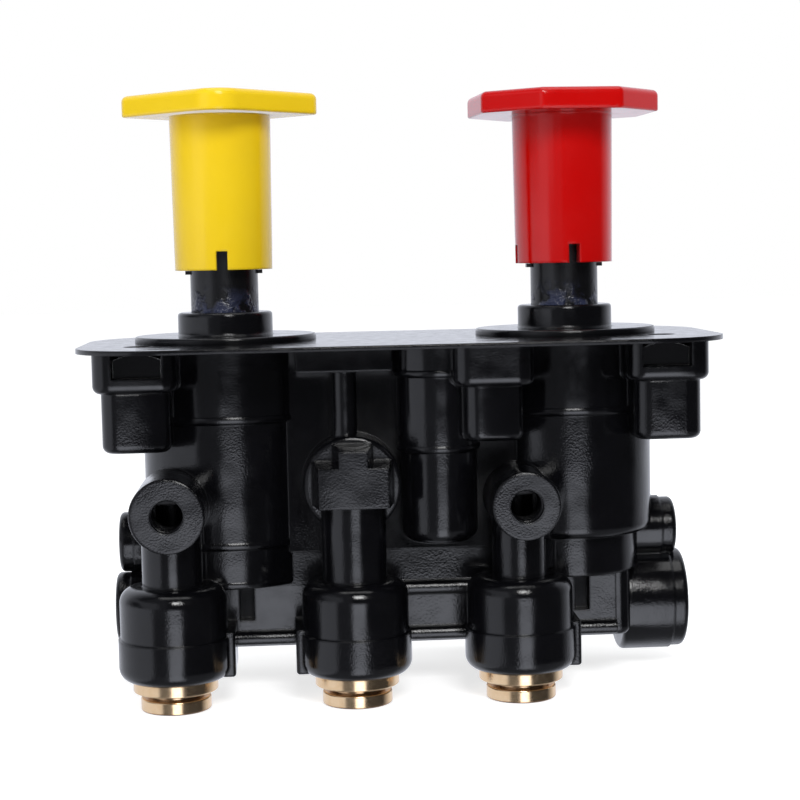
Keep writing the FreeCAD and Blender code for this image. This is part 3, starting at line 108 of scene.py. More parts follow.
class NodeSheet:
    """Lays out the nodes of one shader tree."""

    def __init__(self, tree: bpy.types.NodeTree) -> None:
        """Empty a tree and keep it."""
        self.tree = tree
        self.tree.nodes.clear()

    def node(self, kind: str, values: dict | None = None, **settings: object) -> bpy.types.Node:
        """Add a node.

        Args:
            kind: Blender's name for the type of node.
            values: Values for its input sockets, by name or number.
            settings: Values for its own properties.

        Returns:
            The new node.
        """
        item = self.tree.nodes.new(kind)
        for key, value in settings.items():
            setattr(item, key, value)
        for key, value in (values or {}).items():
            item.inputs[key].default_value = value
        return item

    def join(self, source: bpy.types.Node, output: str | int, target: bpy.types.Node,
             entry: str | int) -> None:
        """Link an output of one node to an input of another."""
        self.tree.links.new(source.outputs[output], target.inputs[entry])

    def split(self, source: bpy.types.Node, output: str) -> bpy.types.Node:
        """Return a node that gives the X, Y and Z parts of another node's output."""
        parts = self.node("ShaderNodeSeparateXYZ")
        self.join(source, output, parts, "Vector")
        return parts

    def spread(self, source: bpy.types.Node, low: float, high: float,
               start: float = 0.3, end: float = 0.7, output: str | int = 0) -> bpy.types.Node:
        """Map a pattern's values from start-end to low-high.

        Args:
            source: Node that gives the pattern.
            low: Value at start.
            high: Value at end.
            start: Lowest value of the pattern that counts.
            end: Highest value of the pattern that counts.
            output: The source's output.

        Returns:
            The map range node.
        """
        limits = {"From Min": start, "From Max": end, "To Min": low, "To Max": high}
        mapped = self.node("ShaderNodeMapRange", limits)
        self.join(source, output, mapped, "Value")
        return mapped

    def combine(self, operation: str, first: bpy.types.Node, second: bpy.types.Node) -> bpy.types.Node:
        """Return a math node that combines the first outputs of two nodes."""
        combined = self.node("ShaderNodeMath", operation=operation)
        self.join(first, 0, combined, 0)
        self.join(second, 0, combined, 1)
        return combined

    def window(self, source: bpy.types.Node, limits: Limits, output: str | int = 0) -> bpy.types.Node:
        """Find where a value lies within limits.

        Args:
            source: Node that gives the value.
            limits: Where the window starts, is fully open, starts to close and is shut.
            output: The source's output.

        Returns:
            A node that gives 1 inside the window and 0 outside it.
        """
        start, opened, closing, end = limits
        rise = self.spread(source, 0.0, 1.0, start, opened, output)
        fall = self.spread(source, 1.0, 0.0, closing, end, output)
        return self.combine("MULTIPLY", rise, fall)

    def choose(self, factor: bpy.types.Node, output: str | int, first: bpy.types.Node,
               second: bpy.types.Node) -> bpy.types.Node:
        """Mix two shaders.

        Args:
            factor: Node that gives 0 for the first shader and 1 for the second.
            output: The factor's output.
            first: Node of the first shader.
            second: Node of the second shader.

        Returns:
            The mix shader node.
        """
        mix = self.node("ShaderNodeMixShader")
        self.join(factor, output, mix, 0)
        self.join(first, 0, mix, 1)
        self.join(second, 0, mix, 2)
        return mix


class ShaderSheet(NodeSheet):
    """Lays out a material round one Principled shader."""

    SAMPLES = 4
    MIX_FIRST = 6
    MIX_SECOND = 7
    MIX_RESULT = 2
    FRONT_NORMAL: Pair = (-0.97, -0.9)
    FACE_MARGIN = 0.1

    def __init__(self, name: str) -> None:
        """Start a material.

        Args:
            name: The material's name.
        """
        self.material = bpy.data.materials.new(name)
        self.material.use_nodes = True
        super().__init__(self.material.node_tree)
        self.output = self.node("ShaderNodeOutputMaterial")
        self.shader = self.node("ShaderNodeBsdfPrincipled")
        self.join(self.shader, "BSDF", self.output, "Surface")
        self.place = self.node("ShaderNodeTexCoord")

    def set(self, **values: object) -> None:
        """Set values on the Principled shader's own sockets, with underscores for spaces."""
        for key, value in values.items():
            self.shader.inputs[key.replace("_", " ")].default_value = value

    def noise(self, size: float, detail: float = 3.0, stretch: Point = (1.0, 1.0, 1.0)) -> bpy.types.Node:
        """Add a noise pattern on Object coordinates.

        Args:
            size: Size of its features in millimetres.
            detail: Number of finer layers.
            stretch: How many times longer the features are along each axis.

        Returns:
            The noise node.
        """
        mapping = self.node("ShaderNodeMapping", {"Scale": tuple(1.0 / part for part in stretch)})
        self.join(self.place, "Object", mapping, "Vector")
        pattern = self.node("ShaderNodeTexNoise", {"Scale": 1.0 / (size * MM), "Detail": detail})
        self.join(mapping, "Vector", pattern, "Vector")
        return pattern

    def blend(self, factor: bpy.types.Node, first: Colour, second: Colour) -> bpy.types.Node:
        """Mix two colours by a factor, and return the mix node."""
        colours = {self.MIX_FIRST: (*first, 1.0), self.MIX_SECOND: (*second, 1.0)}
        mix = self.node("ShaderNodeMix", colours, data_type="RGBA")
        self.join(factor, 0, mix, 0)
        return mix

    def colour(self, mix: bpy.types.Node) -> None:
        """Give the shader the colour of a mix node."""
        self.join(mix, self.MIX_RESULT, self.shader, "Base Color")

    def openness(self, reach: float, closed: float, clear: float, span: Pair) -> bpy.types.Node:
        """Find how open the surroundings of a point are.

        Args:
            reach: Distance in millimetres within which other faces shelter it.
            closed: Value in a sheltered place.
            clear: Value in an open place.
            span: Unsheltered shares of the sky at which a place counts as sheltered and as open.

        Returns:
            A node that gives a value from closed to clear.
        """
        shelter = self.node("ShaderNodeAmbientOcclusion", {"Distance": reach * MM}, samples=self.SAMPLES)
        return self.spread(shelter, closed, clear, *span, "AO")

    def rounding(self, radius: float) -> bpy.types.Node:
        """Return a node that gives the normals of edges rounded by a radius in millimetres."""
        return self.node("ShaderNodeBevel", {"Radius": radius * MM}, samples=self.SAMPLES)

    def worn_edges(self, radius: float, sharpness: float = 0.12) -> bpy.types.Node:
        """Find the sharp edges, where a finish wears through.

        Args:
            radius: Width of the worn border in millimetres.
            sharpness: How far the rounded normal must turn away for full wear.

        Returns:
            A node that gives 1 on worn edges.
        """
        likeness = self.node("ShaderNodeVectorMath", operation="DOT_PRODUCT")
        self.join(self.rounding(radius), 0, likeness, 0)
        self.join(self.node("ShaderNodeNewGeometry"), "True Normal", likeness, 1)
        return self.spread(likeness, 1.0, 0.0, 1.0 - sharpness, 1.0, "Value")

    def within(self, place: bpy.types.Node, face: ShapedFace) -> bpy.types.Node:
        """Find the points of one front face.

        Args:
            place: Node that gives the X, Y and Z parts of the Object coordinates.
            face: The face.

        Returns:
            A node that gives 1 on the face and 0 elsewhere.
        """
        aim = self.split(self.node("ShaderNodeNewGeometry"), "True Normal")
        inside = self.spread(aim, 1.0, 0.0, *self.FRONT_NORMAL, "Y")
        for axis, low, high in zip("XYZ", face.low, face.high):
            limits = ((low - self.FACE_MARGIN) * MM, low * MM, high * MM, (high + self.FACE_MARGIN) * MM)
            inside = self.combine("MULTIPLY", inside, self.window(place, limits, axis))
        return inside

    def shaped(self, normal: bpy.types.Node, face: ShapedFace) -> bpy.types.Node:
        """Turn the normals of one face as its draft and crown do.

        Args:
            normal: Node whose first output is the normal so far.
            face: The face.

        Returns:
            The node that gives the turned normal.
        """
        place = self.split(self.place, "Object")
        left = math.sin(math.radians(face.turn - face.crown))
        right = math.sin(math.radians(face.turn + face.crown))
        across = self.spread(place, left, right, face.low[0] * MM, face.high[0] * MM, "X")
        turn = self.node("ShaderNodeCombineXYZ", {"Z": math.sin(math.radians(face.lean))})
        self.join(across, 0, turn, "X")
        scaled = self.node("ShaderNodeVectorMath", operation="SCALE")
        self.join(turn, 0, scaled, 0)
        self.join(self.within(place, face), 0, scaled, "Scale")
        total = self.node("ShaderNodeVectorMath", operation="ADD")
        self.join(normal, 0, total, 0)
        self.join(scaled, 0, total, 1)
        even = self.node("ShaderNodeVectorMath", operation="NORMALIZE")
        self.join(total, 0, even, 0)
        return even

    def relief(self, layers: Iterable[tuple[bpy.types.Node, float]], softness: float,
               faces: Iterable[ShapedFace] = ()) -> None:
        """Give the surface bump layers over rounded edges and shaped faces.

        Args:
            layers: Pairs of a height pattern and its depth in millimetres.
            softness: Radius in millimetres by which sharp edges look rounded.
            faces: Faces that lean or bow.
        """
        last = self.rounding(softness)
        for face in faces:
            last = self.shaped(last, face)
        for pattern, depth in layers:
            bump = self.node("ShaderNodeBump", {"Strength": 1.0, "Distance": depth * MM})
            self.join(pattern, 0, bump, "Height")
            self.join(last, 0, bump, "Normal")
            last = bump
        self.join(last, 0, self.shader, "Normal")


@dataclass(frozen=True)
class MouldedPlastic:
    """A moulded plastic with a soft waviness, a fine grain that is stronger in patches, and dull recesses.

    The grain fades over a height of smooth_fade and is at its smoothest from smooth_above upwards.
    """

    name: str
    colour: Colour
    shade: Colour
    roughness: Pair
    specular: float = 0.5
    mottle: float = 9.0
    grain: float = 0.35
    grain_depth: float = 0.006
    wave: float = 7.0
    wave_depth: float = 0.05
    smoothest: float = 0.4
    smooth_above: float = 200.0
    smooth_fade: float = 12.0
    patch_span: Pair = (0.4, 0.6)
    softness: float = 0.45
    recess: float = 10.0
    recess_span: Pair = (0.15, 0.35)
    recess_roughness: float = 0.6
    faces: tuple[ShapedFace, ...] = ()

    def material(self) -> bpy.types.Material:
        """Return a new material with this finish."""
        sheet = ShaderSheet(self.name)
        sheet.set(Specular_IOR_Level=self.specular)
        cloud = sheet.noise(self.mottle, 4.0)
        sheet.colour(sheet.blend(sheet.spread(cloud, 0.0, 1.0), self.colour, self.shade))
        haze = sheet.noise(self.mottle / 3, 3.0)
        dust = sheet.openness(self.recess, self.recess_roughness, 0.0, self.recess_span)
        rough = sheet.combine("MAXIMUM", sheet.spread(haze, *self.roughness), dust)
        sheet.join(rough, 0, sheet.shader, "Roughness")
        patches = sheet.spread(sheet.noise(self.mottle * 1.5, 2.0), self.smoothest, 1.0, *self.patch_span)
        fade = ((self.smooth_above - self.smooth_fade) * MM, self.smooth_above * MM)
        height = sheet.spread(sheet.split(sheet.place, "Object"), 1.0, self.smoothest, *fade, "Z")
        texture = sheet.combine("MULTIPLY", sheet.noise(self.grain, 2.0),
                                sheet.combine("MULTIPLY", patches, height))
        layers = [(sheet.noise(self.wave, 1.0), self.wave_depth), (texture, self.grain_depth)]
        sheet.relief(layers, self.softness, self.faces)
        return sheet.material


@dataclass(frozen=True)
class GreasedStem:
    """Black acetal with a bluish smear of grease round the stem, just above its collar."""

    name: str
    colour: Colour = (0.0034, 0.0034, 0.0040)
    grease: Colour = (0.030, 0.036, 0.075)
    roughness: Pair = (0.24, 0.14)
    smear_bottom: float = 6.5
    smear_top: float = 13.5
    patch: float = 3.2
    patch_span: Pair = (0.46, 0.6)
    lump: float = 0.9
    lump_depth: float = 0.5
    grain: float = 0.4
    grain_depth: float = 0.004
    softness: float = 0.25

    def material(self) -> bpy.types.Material:
        """Return a new material with this finish."""
        sheet = ShaderSheet(self.name)
        place = sheet.split(sheet.place, "Object")
        fade = sheet.spread(place, 1.0, 0.0, self.smear_bottom * MM, self.smear_top * MM, "Z")
        patch = sheet.spread(sheet.noise(self.patch, 4.0), 0.0, 1.0, *self.patch_span)
        amount = sheet.combine("MULTIPLY", fade, patch)
        sheet.colour(sheet.blend(amount, self.colour, self.grease))
        sheet.join(sheet.spread(amount, *self.roughness, 0.0, 1.0), 0, sheet.shader, "Roughness")
        lumps = sheet.combine("MULTIPLY", sheet.noise(self.lump, 4.0), amount)
        sheet.relief([(lumps, self.lump_depth), (sheet.noise(self.grain, 2.0), self.grain_depth)],
                     self.softness)
        return sheet.material


@dataclass(frozen=True)
class TurnedMetal:
    """A metal with fine turning marks square to the Z axis, and painted shade that darkens it most in its
    grooves.
    """

    name: str
    colour: Colour
    shade: Colour
    roughness: Pair = (0.2, 0.34)
    mottle: float = 2.5
    haze: float = 1.1
    mark: float = 0.25
    mark_stretch: Point = (40.0, 40.0, 1.0)
    mark_depth: float = 0.004
    softness: float = 0.12
    groove: float = 1.6
    groove_span: Pair = (0.25, 0.75)
    # Colour of the painted shade in sheltered grooves.
    groove_shade: Colour = (0.12, 0.10, 0.08)

    def material(self) -> bpy.types.Material:
        """Return a new material with this finish."""
        sheet = ShaderSheet(self.name)
        sheet.set(Metallic=1.0)
        tint = sheet.blend(sheet.spread(sheet.noise(self.mottle, 4.0), 0.0, 1.0), self.colour, self.shade)
        # Painted shade: the colour darkens towards groove_shade where grooves and gaps shelter the surface.
        open_air = sheet.openness(self.groove, 0.0, 1.0, self.groove_span)
        groove_shaded = sheet.blend(open_air, self.groove_shade, self.colour)
        sheet.join(tint, sheet.MIX_RESULT, groove_shaded, sheet.MIX_SECOND)
        sheet.colour(groove_shaded)
        sheet.join(sheet.spread(sheet.noise(self.haze, 3.0), *self.roughness), 0, sheet.shader, "Roughness")
        marks = sheet.noise(self.mark, 2.0, self.mark_stretch)
        sheet.relief([(marks, self.mark_depth)], self.softness)
        return sheet.material


@dataclass(frozen=True)
class PhosphatedSteel:
    """Steel with a black phosphate coat of fine crystals, rubbed bright along its edges."""

    name: str
    coat: Colour = (0.0030, 0.0030, 0.0034)
    bare: Colour = (0.45, 0.45, 0.44)
    metallic: Pair = (0.15, 0.9)
    roughness: Pair = (0.18, 0.26)
    specular: float = 0.15
    crystal: float = 0.22
    crystal_depth: float = 0.004
    rub_width: float = 0.4
    rub_break: float = 0.9
    break_span: Pair = (0.4, 0.6)
    least_rub: float = 0.25
    softness: float = 0.2

    def material(self) -> bpy.types.Material:
        """Return a new material with this finish."""
        sheet = ShaderSheet(self.name)
        sheet.set(Specular_IOR_Level=self.specular)
        crystals = sheet.noise(self.crystal, 3.0)
        breaks = sheet.spread(sheet.noise(self.rub_break, 3.0), self.least_rub, 1.0, *self.break_span)
        wear = sheet.combine("MULTIPLY", sheet.worn_edges(self.rub_width), breaks)
        sheet.colour(sheet.blend(wear, self.coat, self.bare))
        sheet.join(sheet.spread(wear, *self.metallic, 0.0, 1.0), 0, sheet.shader, "Metallic")
        sheet.join(sheet.spread(crystals, *self.roughness), 0, sheet.shader, "Roughness")
        sheet.relief([(crystals, self.crystal_depth)], self.softness)
        return sheet.material


@dataclass(frozen=True)
class Rubber:
    """A dull black rubber with a dusty bloom."""

    name: str
    colour: Colour = (0.010, 0.010, 0.010)
    dust: Colour = (0.022, 0.022, 0.023)
    roughness: Pair = (0.55, 0.75)
    bloom: float = 2.0
    grain: float = 0.3
    grain_depth: float = 0.008
    softness: float = 0.1

    def material(self) -> bpy.types.Material:
        """Return a new material with this finish."""
        sheet = ShaderSheet(self.name)
        bloom = sheet.spread(sheet.noise(self.bloom, 4.0), 0.0, 1.0)
        sheet.colour(sheet.blend(bloom, self.colour, self.dust))
        sheet.join(sheet.spread(bloom, *self.roughness, 0.0, 1.0), 0, sheet.shader, "Roughness")
        sheet.relief([(sheet.noise(self.grain, 2.0), self.grain_depth)], self.softness)
        return sheet.material


class Palette:
    """Makes each finish's material once and hands it out by slot."""

    def __init__(self) -> None:
        """List the valve's finishes."""
        knob = {"mottle": 20.0, "grain": 0.5, "grain_depth": 0.001, "wave": 9.0, "wave_depth": 0.015,
                "softness": 0.8}
        self.finishes = {
            Slot.BLACK_NYLON: MouldedPlastic(
                "satin_black_nylon", (0.0020, 0.0020, 0.0026), (0.0030, 0.0030, 0.0040), (0.10, 0.17),
                specular=0.45, grain=0.44, grain_depth=0.060, wave=9.0, wave_depth=0.16, smoothest=0.2,
                smooth_above=-16.0, softness=0.7, faces=self.moulded_faces()),
            Slot.BLACK_ACETAL: GreasedStem("greased_black_acetal"),
            Slot.BLACK_RUBBER: Rubber("dull_black_rubber"),
            Slot.BLACK_STEEL: PhosphatedSteel("black_phosphated_steel"),
            Slot.ZINC_STEEL: TurnedMetal(
                "zinc_plated_steel", (0.52, 0.52, 0.50), (0.40, 0.41, 0.42), (0.3, 0.5)),
            Slot.SPRING_STEEL: TurnedMetal("drawn_spring_steel", (0.42, 0.42, 0.42), (0.33, 0.33, 0.34)),
            Slot.YELLOW_PLASTIC: MouldedPlastic(
                "gloss_yellow_plastic", (0.85, 0.585, 0.011), (0.83, 0.565, 0.009), (0.14, 0.2), **knob),
            Slot.RED_PLASTIC: MouldedPlastic(
                "gloss_red_plastic", (0.505, 0.0015, 0.0010), (0.48, 0.0010, 0.0008), (0.1, 0.16), **knob),
            # The brass's groove_shade is a dark brown painted shade in the gap between cap and collet and in
            # its other grooves.
            Slot.SATIN_BRASS: TurnedMetal(
                "satin_turned_brass", (0.80, 0.59, 0.37), (0.74, 0.52, 0.30), (0.15, 0.22),
                mark_depth=0.006, groove_shade=(0.16, 0.060, 0.018)),
        }
        self.made: dict[Slot, bpy.types.Material] = {}

    @staticmethod
    def moulded_faces() -> tuple[ShapedFace, ...]:
        """Return the drafted walls and gauge holes, and the crowned fronts of the lug and the bosses."""
        wall = ShapedFace((-27.2, -18.5, -50.0), (27.2, -14.6, -0.5), lean=6.0)
        bar = ShapedFace((-27.2, -25.3, -8.6), (12.0, -24.7, -0.5), lean=1.8)
        slot_floor = ShapedFace((-51.2, -10.3, -75.0), (51.2, -9.7, -55.0), lean=6.0)
        low_web = ShapedFace((-51.2, -13.3, -72.3), (51.2, -12.7, -58.2), lean=-0.4)
        low_web_top = ShapedFace((-51.2, -13.3, -58.2), (51.2, -12.7, -50.0), lean=2.0)
        lug = ShapedFace((-24.0, -34.3, -46.0), (0.0, -33.7, -20.0), lean=0.6, crown=8.0)
        left_gauge_hole = ShapedFace((-60.0, -23.0, -43.0), (-49.0, -20.5, -32.0), lean=8.0)
        right_gauge_hole = ShapedFace((21.5, -23.0, -43.0), (32.5, -20.5, -32.0), lean=8.0)
        left_boss = ShapedFace((-71.4, -29.5, -26.0), (-51.4, -27.5, -10.0), turn=11.0, crown=15.0)
        right_boss = ShapedFace((51.4, -29.5, -24.4), (71.4, -27.5, -1.0), crown=9.0)
        middle_boss = ShapedFace((10.8, -34.5, -26.0), (29.8, -31.5, -10.0), turn=11.0, crown=15.0)
        return (wall, bar, slot_floor, low_web, low_web_top, lug, left_gauge_hole, right_gauge_hole,
                left_boss, right_boss, middle_boss)

    def material(self, slot: Slot) -> bpy.types.Material:
        """Return the material of a slot."""
        if slot not in self.made:
            self.made[slot] = self.finishes[slot].material()
        return self.made[slot]


class Bench:
    """Shapes new pieces with Blender's modelling operators."""

    UPRIGHT = (math.pi / 2, 0.0, 0.0)
    MERGE_DISTANCE = 1e-7

    @staticmethod
    def deselect() -> None:
        """Leave edit mode and deselect every object."""
        if bpy.context.object and bpy.context.object.mode != "OBJECT":
            bpy.ops.object.mode_set(mode="OBJECT")
        bpy.ops.object.select_all(action="DESELECT")

    @staticmethod
    def pick(piece: bpy.types.Object) -> None:
        """Make a piece the only selected and the active object."""
        Bench.deselect()
        piece.select_set(True)
        bpy.context.view_layer.objects.active = piece

    @staticmethod
    def outline(name: str, corners: int, radius: float, rotation: Point = UPRIGHT) -> bpy.types.Object:
        """Add a ring of edges in the XZ plane and leave it selected in edit mode.

        Args:
            name: The new piece's name.
            corners: Number of its corners.
            radius: Distance of its corners from its middle.
            rotation: Turn that stands it upright.

        Returns:
            The new piece.
        """
        Bench.deselect()
        bpy.ops.mesh.primitive_circle_add(vertices=corners, radius=radius * MM, fill_type="NOTHING",
                                          rotation=rotation)
        piece = bpy.context.object
        piece.name = piece.data.name = name
        bpy.ops.object.transform_apply(location=False, rotation=True, scale=False)
        bpy.ops.object.mode_set(mode="EDIT")
        bpy.ops.mesh.select_all(action="SELECT")
        return piece

    @staticmethod
    def sweep(piece: bpy.types.Object, steps: int, rise: float = 0.0, angle: float = 2 * math.pi,
              rounds: int = 1) -> None:
        """Leave edit mode, sweep an outline about the Z axis and close the mesh.

        Args:
            piece: The outline.
            steps: Number of steps in the angle.
            rise: Height that the outline gains over the angle, in metres.
            angle: Angle of the sweep in radians.
            rounds: How many times the sweep is made.
        """
        bpy.ops.object.mode_set(mode="OBJECT")
        turning = piece.modifiers.new("Turning", "SCREW")
        turning.axis = "Z"
        turning.angle = angle
        turning.screw_offset = rise
        turning.iterations = rounds
        turning.steps = turning.render_steps = steps
        bpy.ops.object.modifier_apply(modifier=turning.name)
        Bench.close(piece)

    @staticmethod
    def close(piece: bpy.types.Object) -> None:
        """Merge a mesh's doubles, fill its open ends and turn its faces outwards."""
        Bench.pick(piece)
        bpy.ops.object.mode_set(mode="EDIT")
        bpy.ops.mesh.select_all(action="SELECT")
        bpy.ops.mesh.remove_doubles(threshold=Bench.MERGE_DISTANCE)
        bpy.ops.mesh.fill_holes(sides=0)
        bpy.ops.mesh.normals_make_consistent(inside=False)
        bpy.ops.object.mode_set(mode="OBJECT")

    @staticmethod
    def dress(piece: bpy.types.Object, material: bpy.types.Material, smooth_below: float) -> None:
        """Apply a piece's place, smooth its edges up to an angle in degrees and give it a material."""
        Bench.pick(piece)
        bpy.ops.object.transform_apply(location=True, rotation=True, scale=True)
        bpy.ops.object.shade_smooth_by_angle(angle=math.radians(smooth_below))
        piece.data.materials.clear()
        piece.data.materials.append(material)

    @staticmethod
    def carry(piece: bpy.types.Object, body: str, slot: Slot) -> None:
        """Let a piece ride on a CAD body."""
        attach(piece, body)
        LOG.info("made %s, which rides on %s", piece.name, body)


@dataclass
class ScrewThread:
    """The helical ridge of a thread cut in a bore, swept from a triangle."""

    name: str
    mouth: Point
    heading: Heading
    bore: float
    length: float
    pitch: float = 1.41
    depth: float = 0.55
    root: float = 0.15
    width_share: float = 0.9
    lead_in: float = 0.9
    steps: int = 56
    smooth_below: float = 35.0

    def triangle(self) -> bpy.types.Object:
        """Return the ridge's section, pointing to the bore's middle, in edit mode."""
        point_inwards = Matrix(((0, -1, 0), (0, 0, -1), (1, 0, 0))).to_euler()
        piece = Bench.outline(self.name, 3, 1.0, point_inwards)
        # A triangle whose corners lie 1 mm from its middle has this depth and width.
        plain_depth = 1.5
        plain_width = math.sqrt(3)
        reach = self.depth + self.root
        width = self.pitch * self.width_share
        bpy.ops.transform.resize(value=(reach / plain_depth, 1.0, width / plain_width),
                                 center_override=ORIGIN)
        middle = self.bore + self.root - reach / 3
        bpy.ops.transform.translate(value=(middle * MM, 0.0, (self.lead_in + self.pitch / 2) * MM))
        return piece

    def build(self, palette: Palette) -> bpy.types.Object:
        """Model the ridge and dress it.

        Args:
            palette: Source of the materials.

        Returns:
            The finished piece.
        """
        piece = self.triangle()
        rounds = int((self.length - self.lead_in - self.pitch) / self.pitch)
        Bench.sweep(piece, self.steps, rise=self.pitch * MM, rounds=rounds)
        aim = Vector(self.heading.value).to_track_quat("Z", "Y").to_matrix().to_4x4()
        piece.matrix_world = Matrix.Translation(Vector(self.mouth) * MM) @ aim
        Bench.dress(piece, palette.material(Slot.BLACK_NYLON), self.smooth_below)
        Bench.carry(piece, "housing", Slot.BLACK_NYLON)
        return piece


@dataclass
class PlungerSpring:
    """A coil spring that stands for its CAD node."""

    node: str
    plunger: str
    button: str
    coil: float = 11.9
    wire: float = 0.8
    turns: float = 5.5
    sides: int = 12
    steps_a_turn: int = 48
    smooth_below: float = 60.0

    def build(self, palette: Palette) -> bpy.types.Object:
        """Model the coil in the CAD node's box and dress it.

        Args:
            palette: Source of the materials.

        Returns:
            The finished piece.
        """
        low, high = (Vector(corner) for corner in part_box(self.node))
        thickness = 2 * self.wire * MM
        piece = Bench.outline(f"{self.node}_coil", self.sides, self.wire)
        bpy.ops.transform.translate(value=(self.coil * MM, 0.0, self.wire * MM))
        Bench.sweep(piece, int(self.turns * self.steps_a_turn), rise=high.z - low.z - thickness,
                    angle=2 * math.pi * self.turns)
        axis = (Vector(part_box(self.plunger)[0]) + Vector(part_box(self.plunger)[1])) / 2
        piece.location = (axis.x, axis.y, low.z)
        Bench.dress(piece, palette.material(Slot.SPRING_STEEL), self.smooth_below)
        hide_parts(self.node)
        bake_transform(piece)
        LOG.info("made %s, which bends between housing and %s", piece.name, self.button)
        return piece


@dataclass
class RoundedLip:
    """A soft raised lip round a cylinder, where the moulding steps to a smaller radius."""

    name: str
    axis: Pair
    radius: float
    level: float
    proud: float = 0.22
    wire: float = 1.0
    stretch: float = 1.25
    sides: int = 16
    steps: int = 96
    smooth_below: float = 60.0

    def build(self, palette: Palette) -> bpy.types.Object:
        """Model the lip from a tall oval swept about the cylinder's axis, and dress it.

        Args:
            palette: Source of the materials.

        Returns:
            The finished piece.
        """
        piece = Bench.outline(self.name, self.sides, self.wire)
        bpy.ops.transform.resize(value=(1.0, 1.0, self.stretch), center_override=ORIGIN)
        ring = self.radius + self.proud - self.wire
        bpy.ops.transform.translate(value=(ring * MM, 0.0, 0.0))
        Bench.sweep(piece, self.steps)
        middle = self.level + self.wire * self.stretch - self.proud
        piece.location = Vector((*self.axis, middle)) * MM
        Bench.dress(piece, palette.material(Slot.BLACK_NYLON), self.smooth_below)
        Bench.carry(piece, "housing", Slot.BLACK_NYLON)
        return piece


@dataclass
class Moulding:
    """The threads in the valve body's ports, and the lips at the steps of its barrels and its post."""

    barrel_x: float = 41.275
    barrel_radius: float = 21.2
    barrel_step: float = -18.6
    foot_radius: float = 20.4
    barrel_end: float = -48.2
    tail_radius: float = 19.6
    tail_end: float = -57.6
    tail_proud: float = 0.12
    post_axis: Pair = (8.2, -20.0)
    post_radius: float = 10.3
    post_step: float = -8.2
    post_foot_radius: float = 9.6
    post_end: float = -25.7
    post_proud: float = 0.18
    post_wire: float = 0.9
    pipe_bore: float = 7.3
    pipe_depth: float = 13.0
    gauge_bore: float = 3.8
    gauge_depth: float = 9.5
    gauge_pitch: float = 0.94
    gauge_ridge: float = 0.35
    supply_mouth: Point = (70.7, 8.0, -67.6)
    rear_mouth: Point = (26.0, 32.0, -67.6)
    left_gauge_mouth: Point = (-54.5, -36.0, -37.6)
    right_gauge_mouth: Point = (26.9, -36.0, -37.6)

    def lips(self) -> list[RoundedLip]:
        """Return the lips of both barrels and the post."""
        park, trailer = (-self.barrel_x, 0.0), (self.barrel_x, 0.0)
        on_post = {"proud": self.post_proud, "wire": self.post_wire}
        return [
            RoundedLip("park_barrel_lip", park, self.barrel_radius, self.barrel_step),
            RoundedLip("trailer_barrel_lip", trailer, self.barrel_radius, self.barrel_step),
            RoundedLip("park_barrel_foot_lip", park, self.foot_radius, self.barrel_end),
            RoundedLip("park_tail_lip", park, self.tail_radius, self.tail_end, self.tail_proud),
            RoundedLip("upper_post_lip", self.post_axis, self.post_radius, self.post_step, **on_post),
            RoundedLip("lower_post_lip", self.post_axis, self.post_foot_radius, self.post_end, **on_post),
        ]

    def threads(self) -> list[ScrewThread]:
        """Return the threads of the two pipe ports and the two gauge ports."""
        pipe = (self.pipe_bore, self.pipe_depth)
        gauge = (self.gauge_bore, self.gauge_depth, self.gauge_pitch, self.gauge_ridge)
        return [
            ScrewThread("supply_port_thread", self.supply_mouth, Heading.LEFT, *pipe),
            ScrewThread("rear_port_thread", self.rear_mouth, Heading.FORWARD, *pipe),
            ScrewThread("left_gauge_thread", self.left_gauge_mouth, Heading.BACK, *gauge),
            ScrewThread("right_gauge_thread", self.right_gauge_mouth, Heading.BACK, *gauge),
        ]

    def build(self, palette: Palette) -> list[bpy.types.Object]:
        """Form the lips, then cut the threads, and return the pieces."""
        return [detail.build(palette) for detail in (*self.lips(), *self.threads())]


def above(shut: float, opened: float) -> Limits:
    """Return limits that take in all directions above a value."""
    return (shut, opened, *OPEN[2:])


def below(opened: float, shut: float) -> Limits:
    """Return limits that take in all directions below a value."""
    return (*OPEN[:2], opened, shut)


@dataclass(frozen=True)
class GlossPatch:
    """A bright patch of the surroundings that gloss shows, between limits along each axis of direction."""

    strength: float
    x: Limits = OPEN
    y: Limits = OPEN
    z: Limits = OPEN


@dataclass(frozen=True)
class Softbox:
    """A soft rectangular lamp that faces the valve. Gloss shows it if it is mirrored."""

    name: str
    place: Point
    width: float
    height: float
    power: float
    mirrored: bool = False
    aim: Point = (0.0, 0.0, -25.0)

    def build(self) -> None:
        """Add the lamp."""
        data = bpy.data.lights.new(self.name, "AREA")
        data.shape = "RECTANGLE"
        data.size = self.width * MM
        data.size_y = self.height * MM
        data.energy = self.power
        lamp = bpy.data.objects.new(self.name, data)
        lamp.visible_glossy = self.mirrored
        spot = Vector(self.place) * MM
        turn = (Vector(self.aim) * MM - spot).to_track_quat("-Z", "Y").to_matrix().to_4x4()
        lamp.matrix_world = Matrix.Translation(spot) @ turn
        bpy.context.scene.collection.objects.link(lamp)


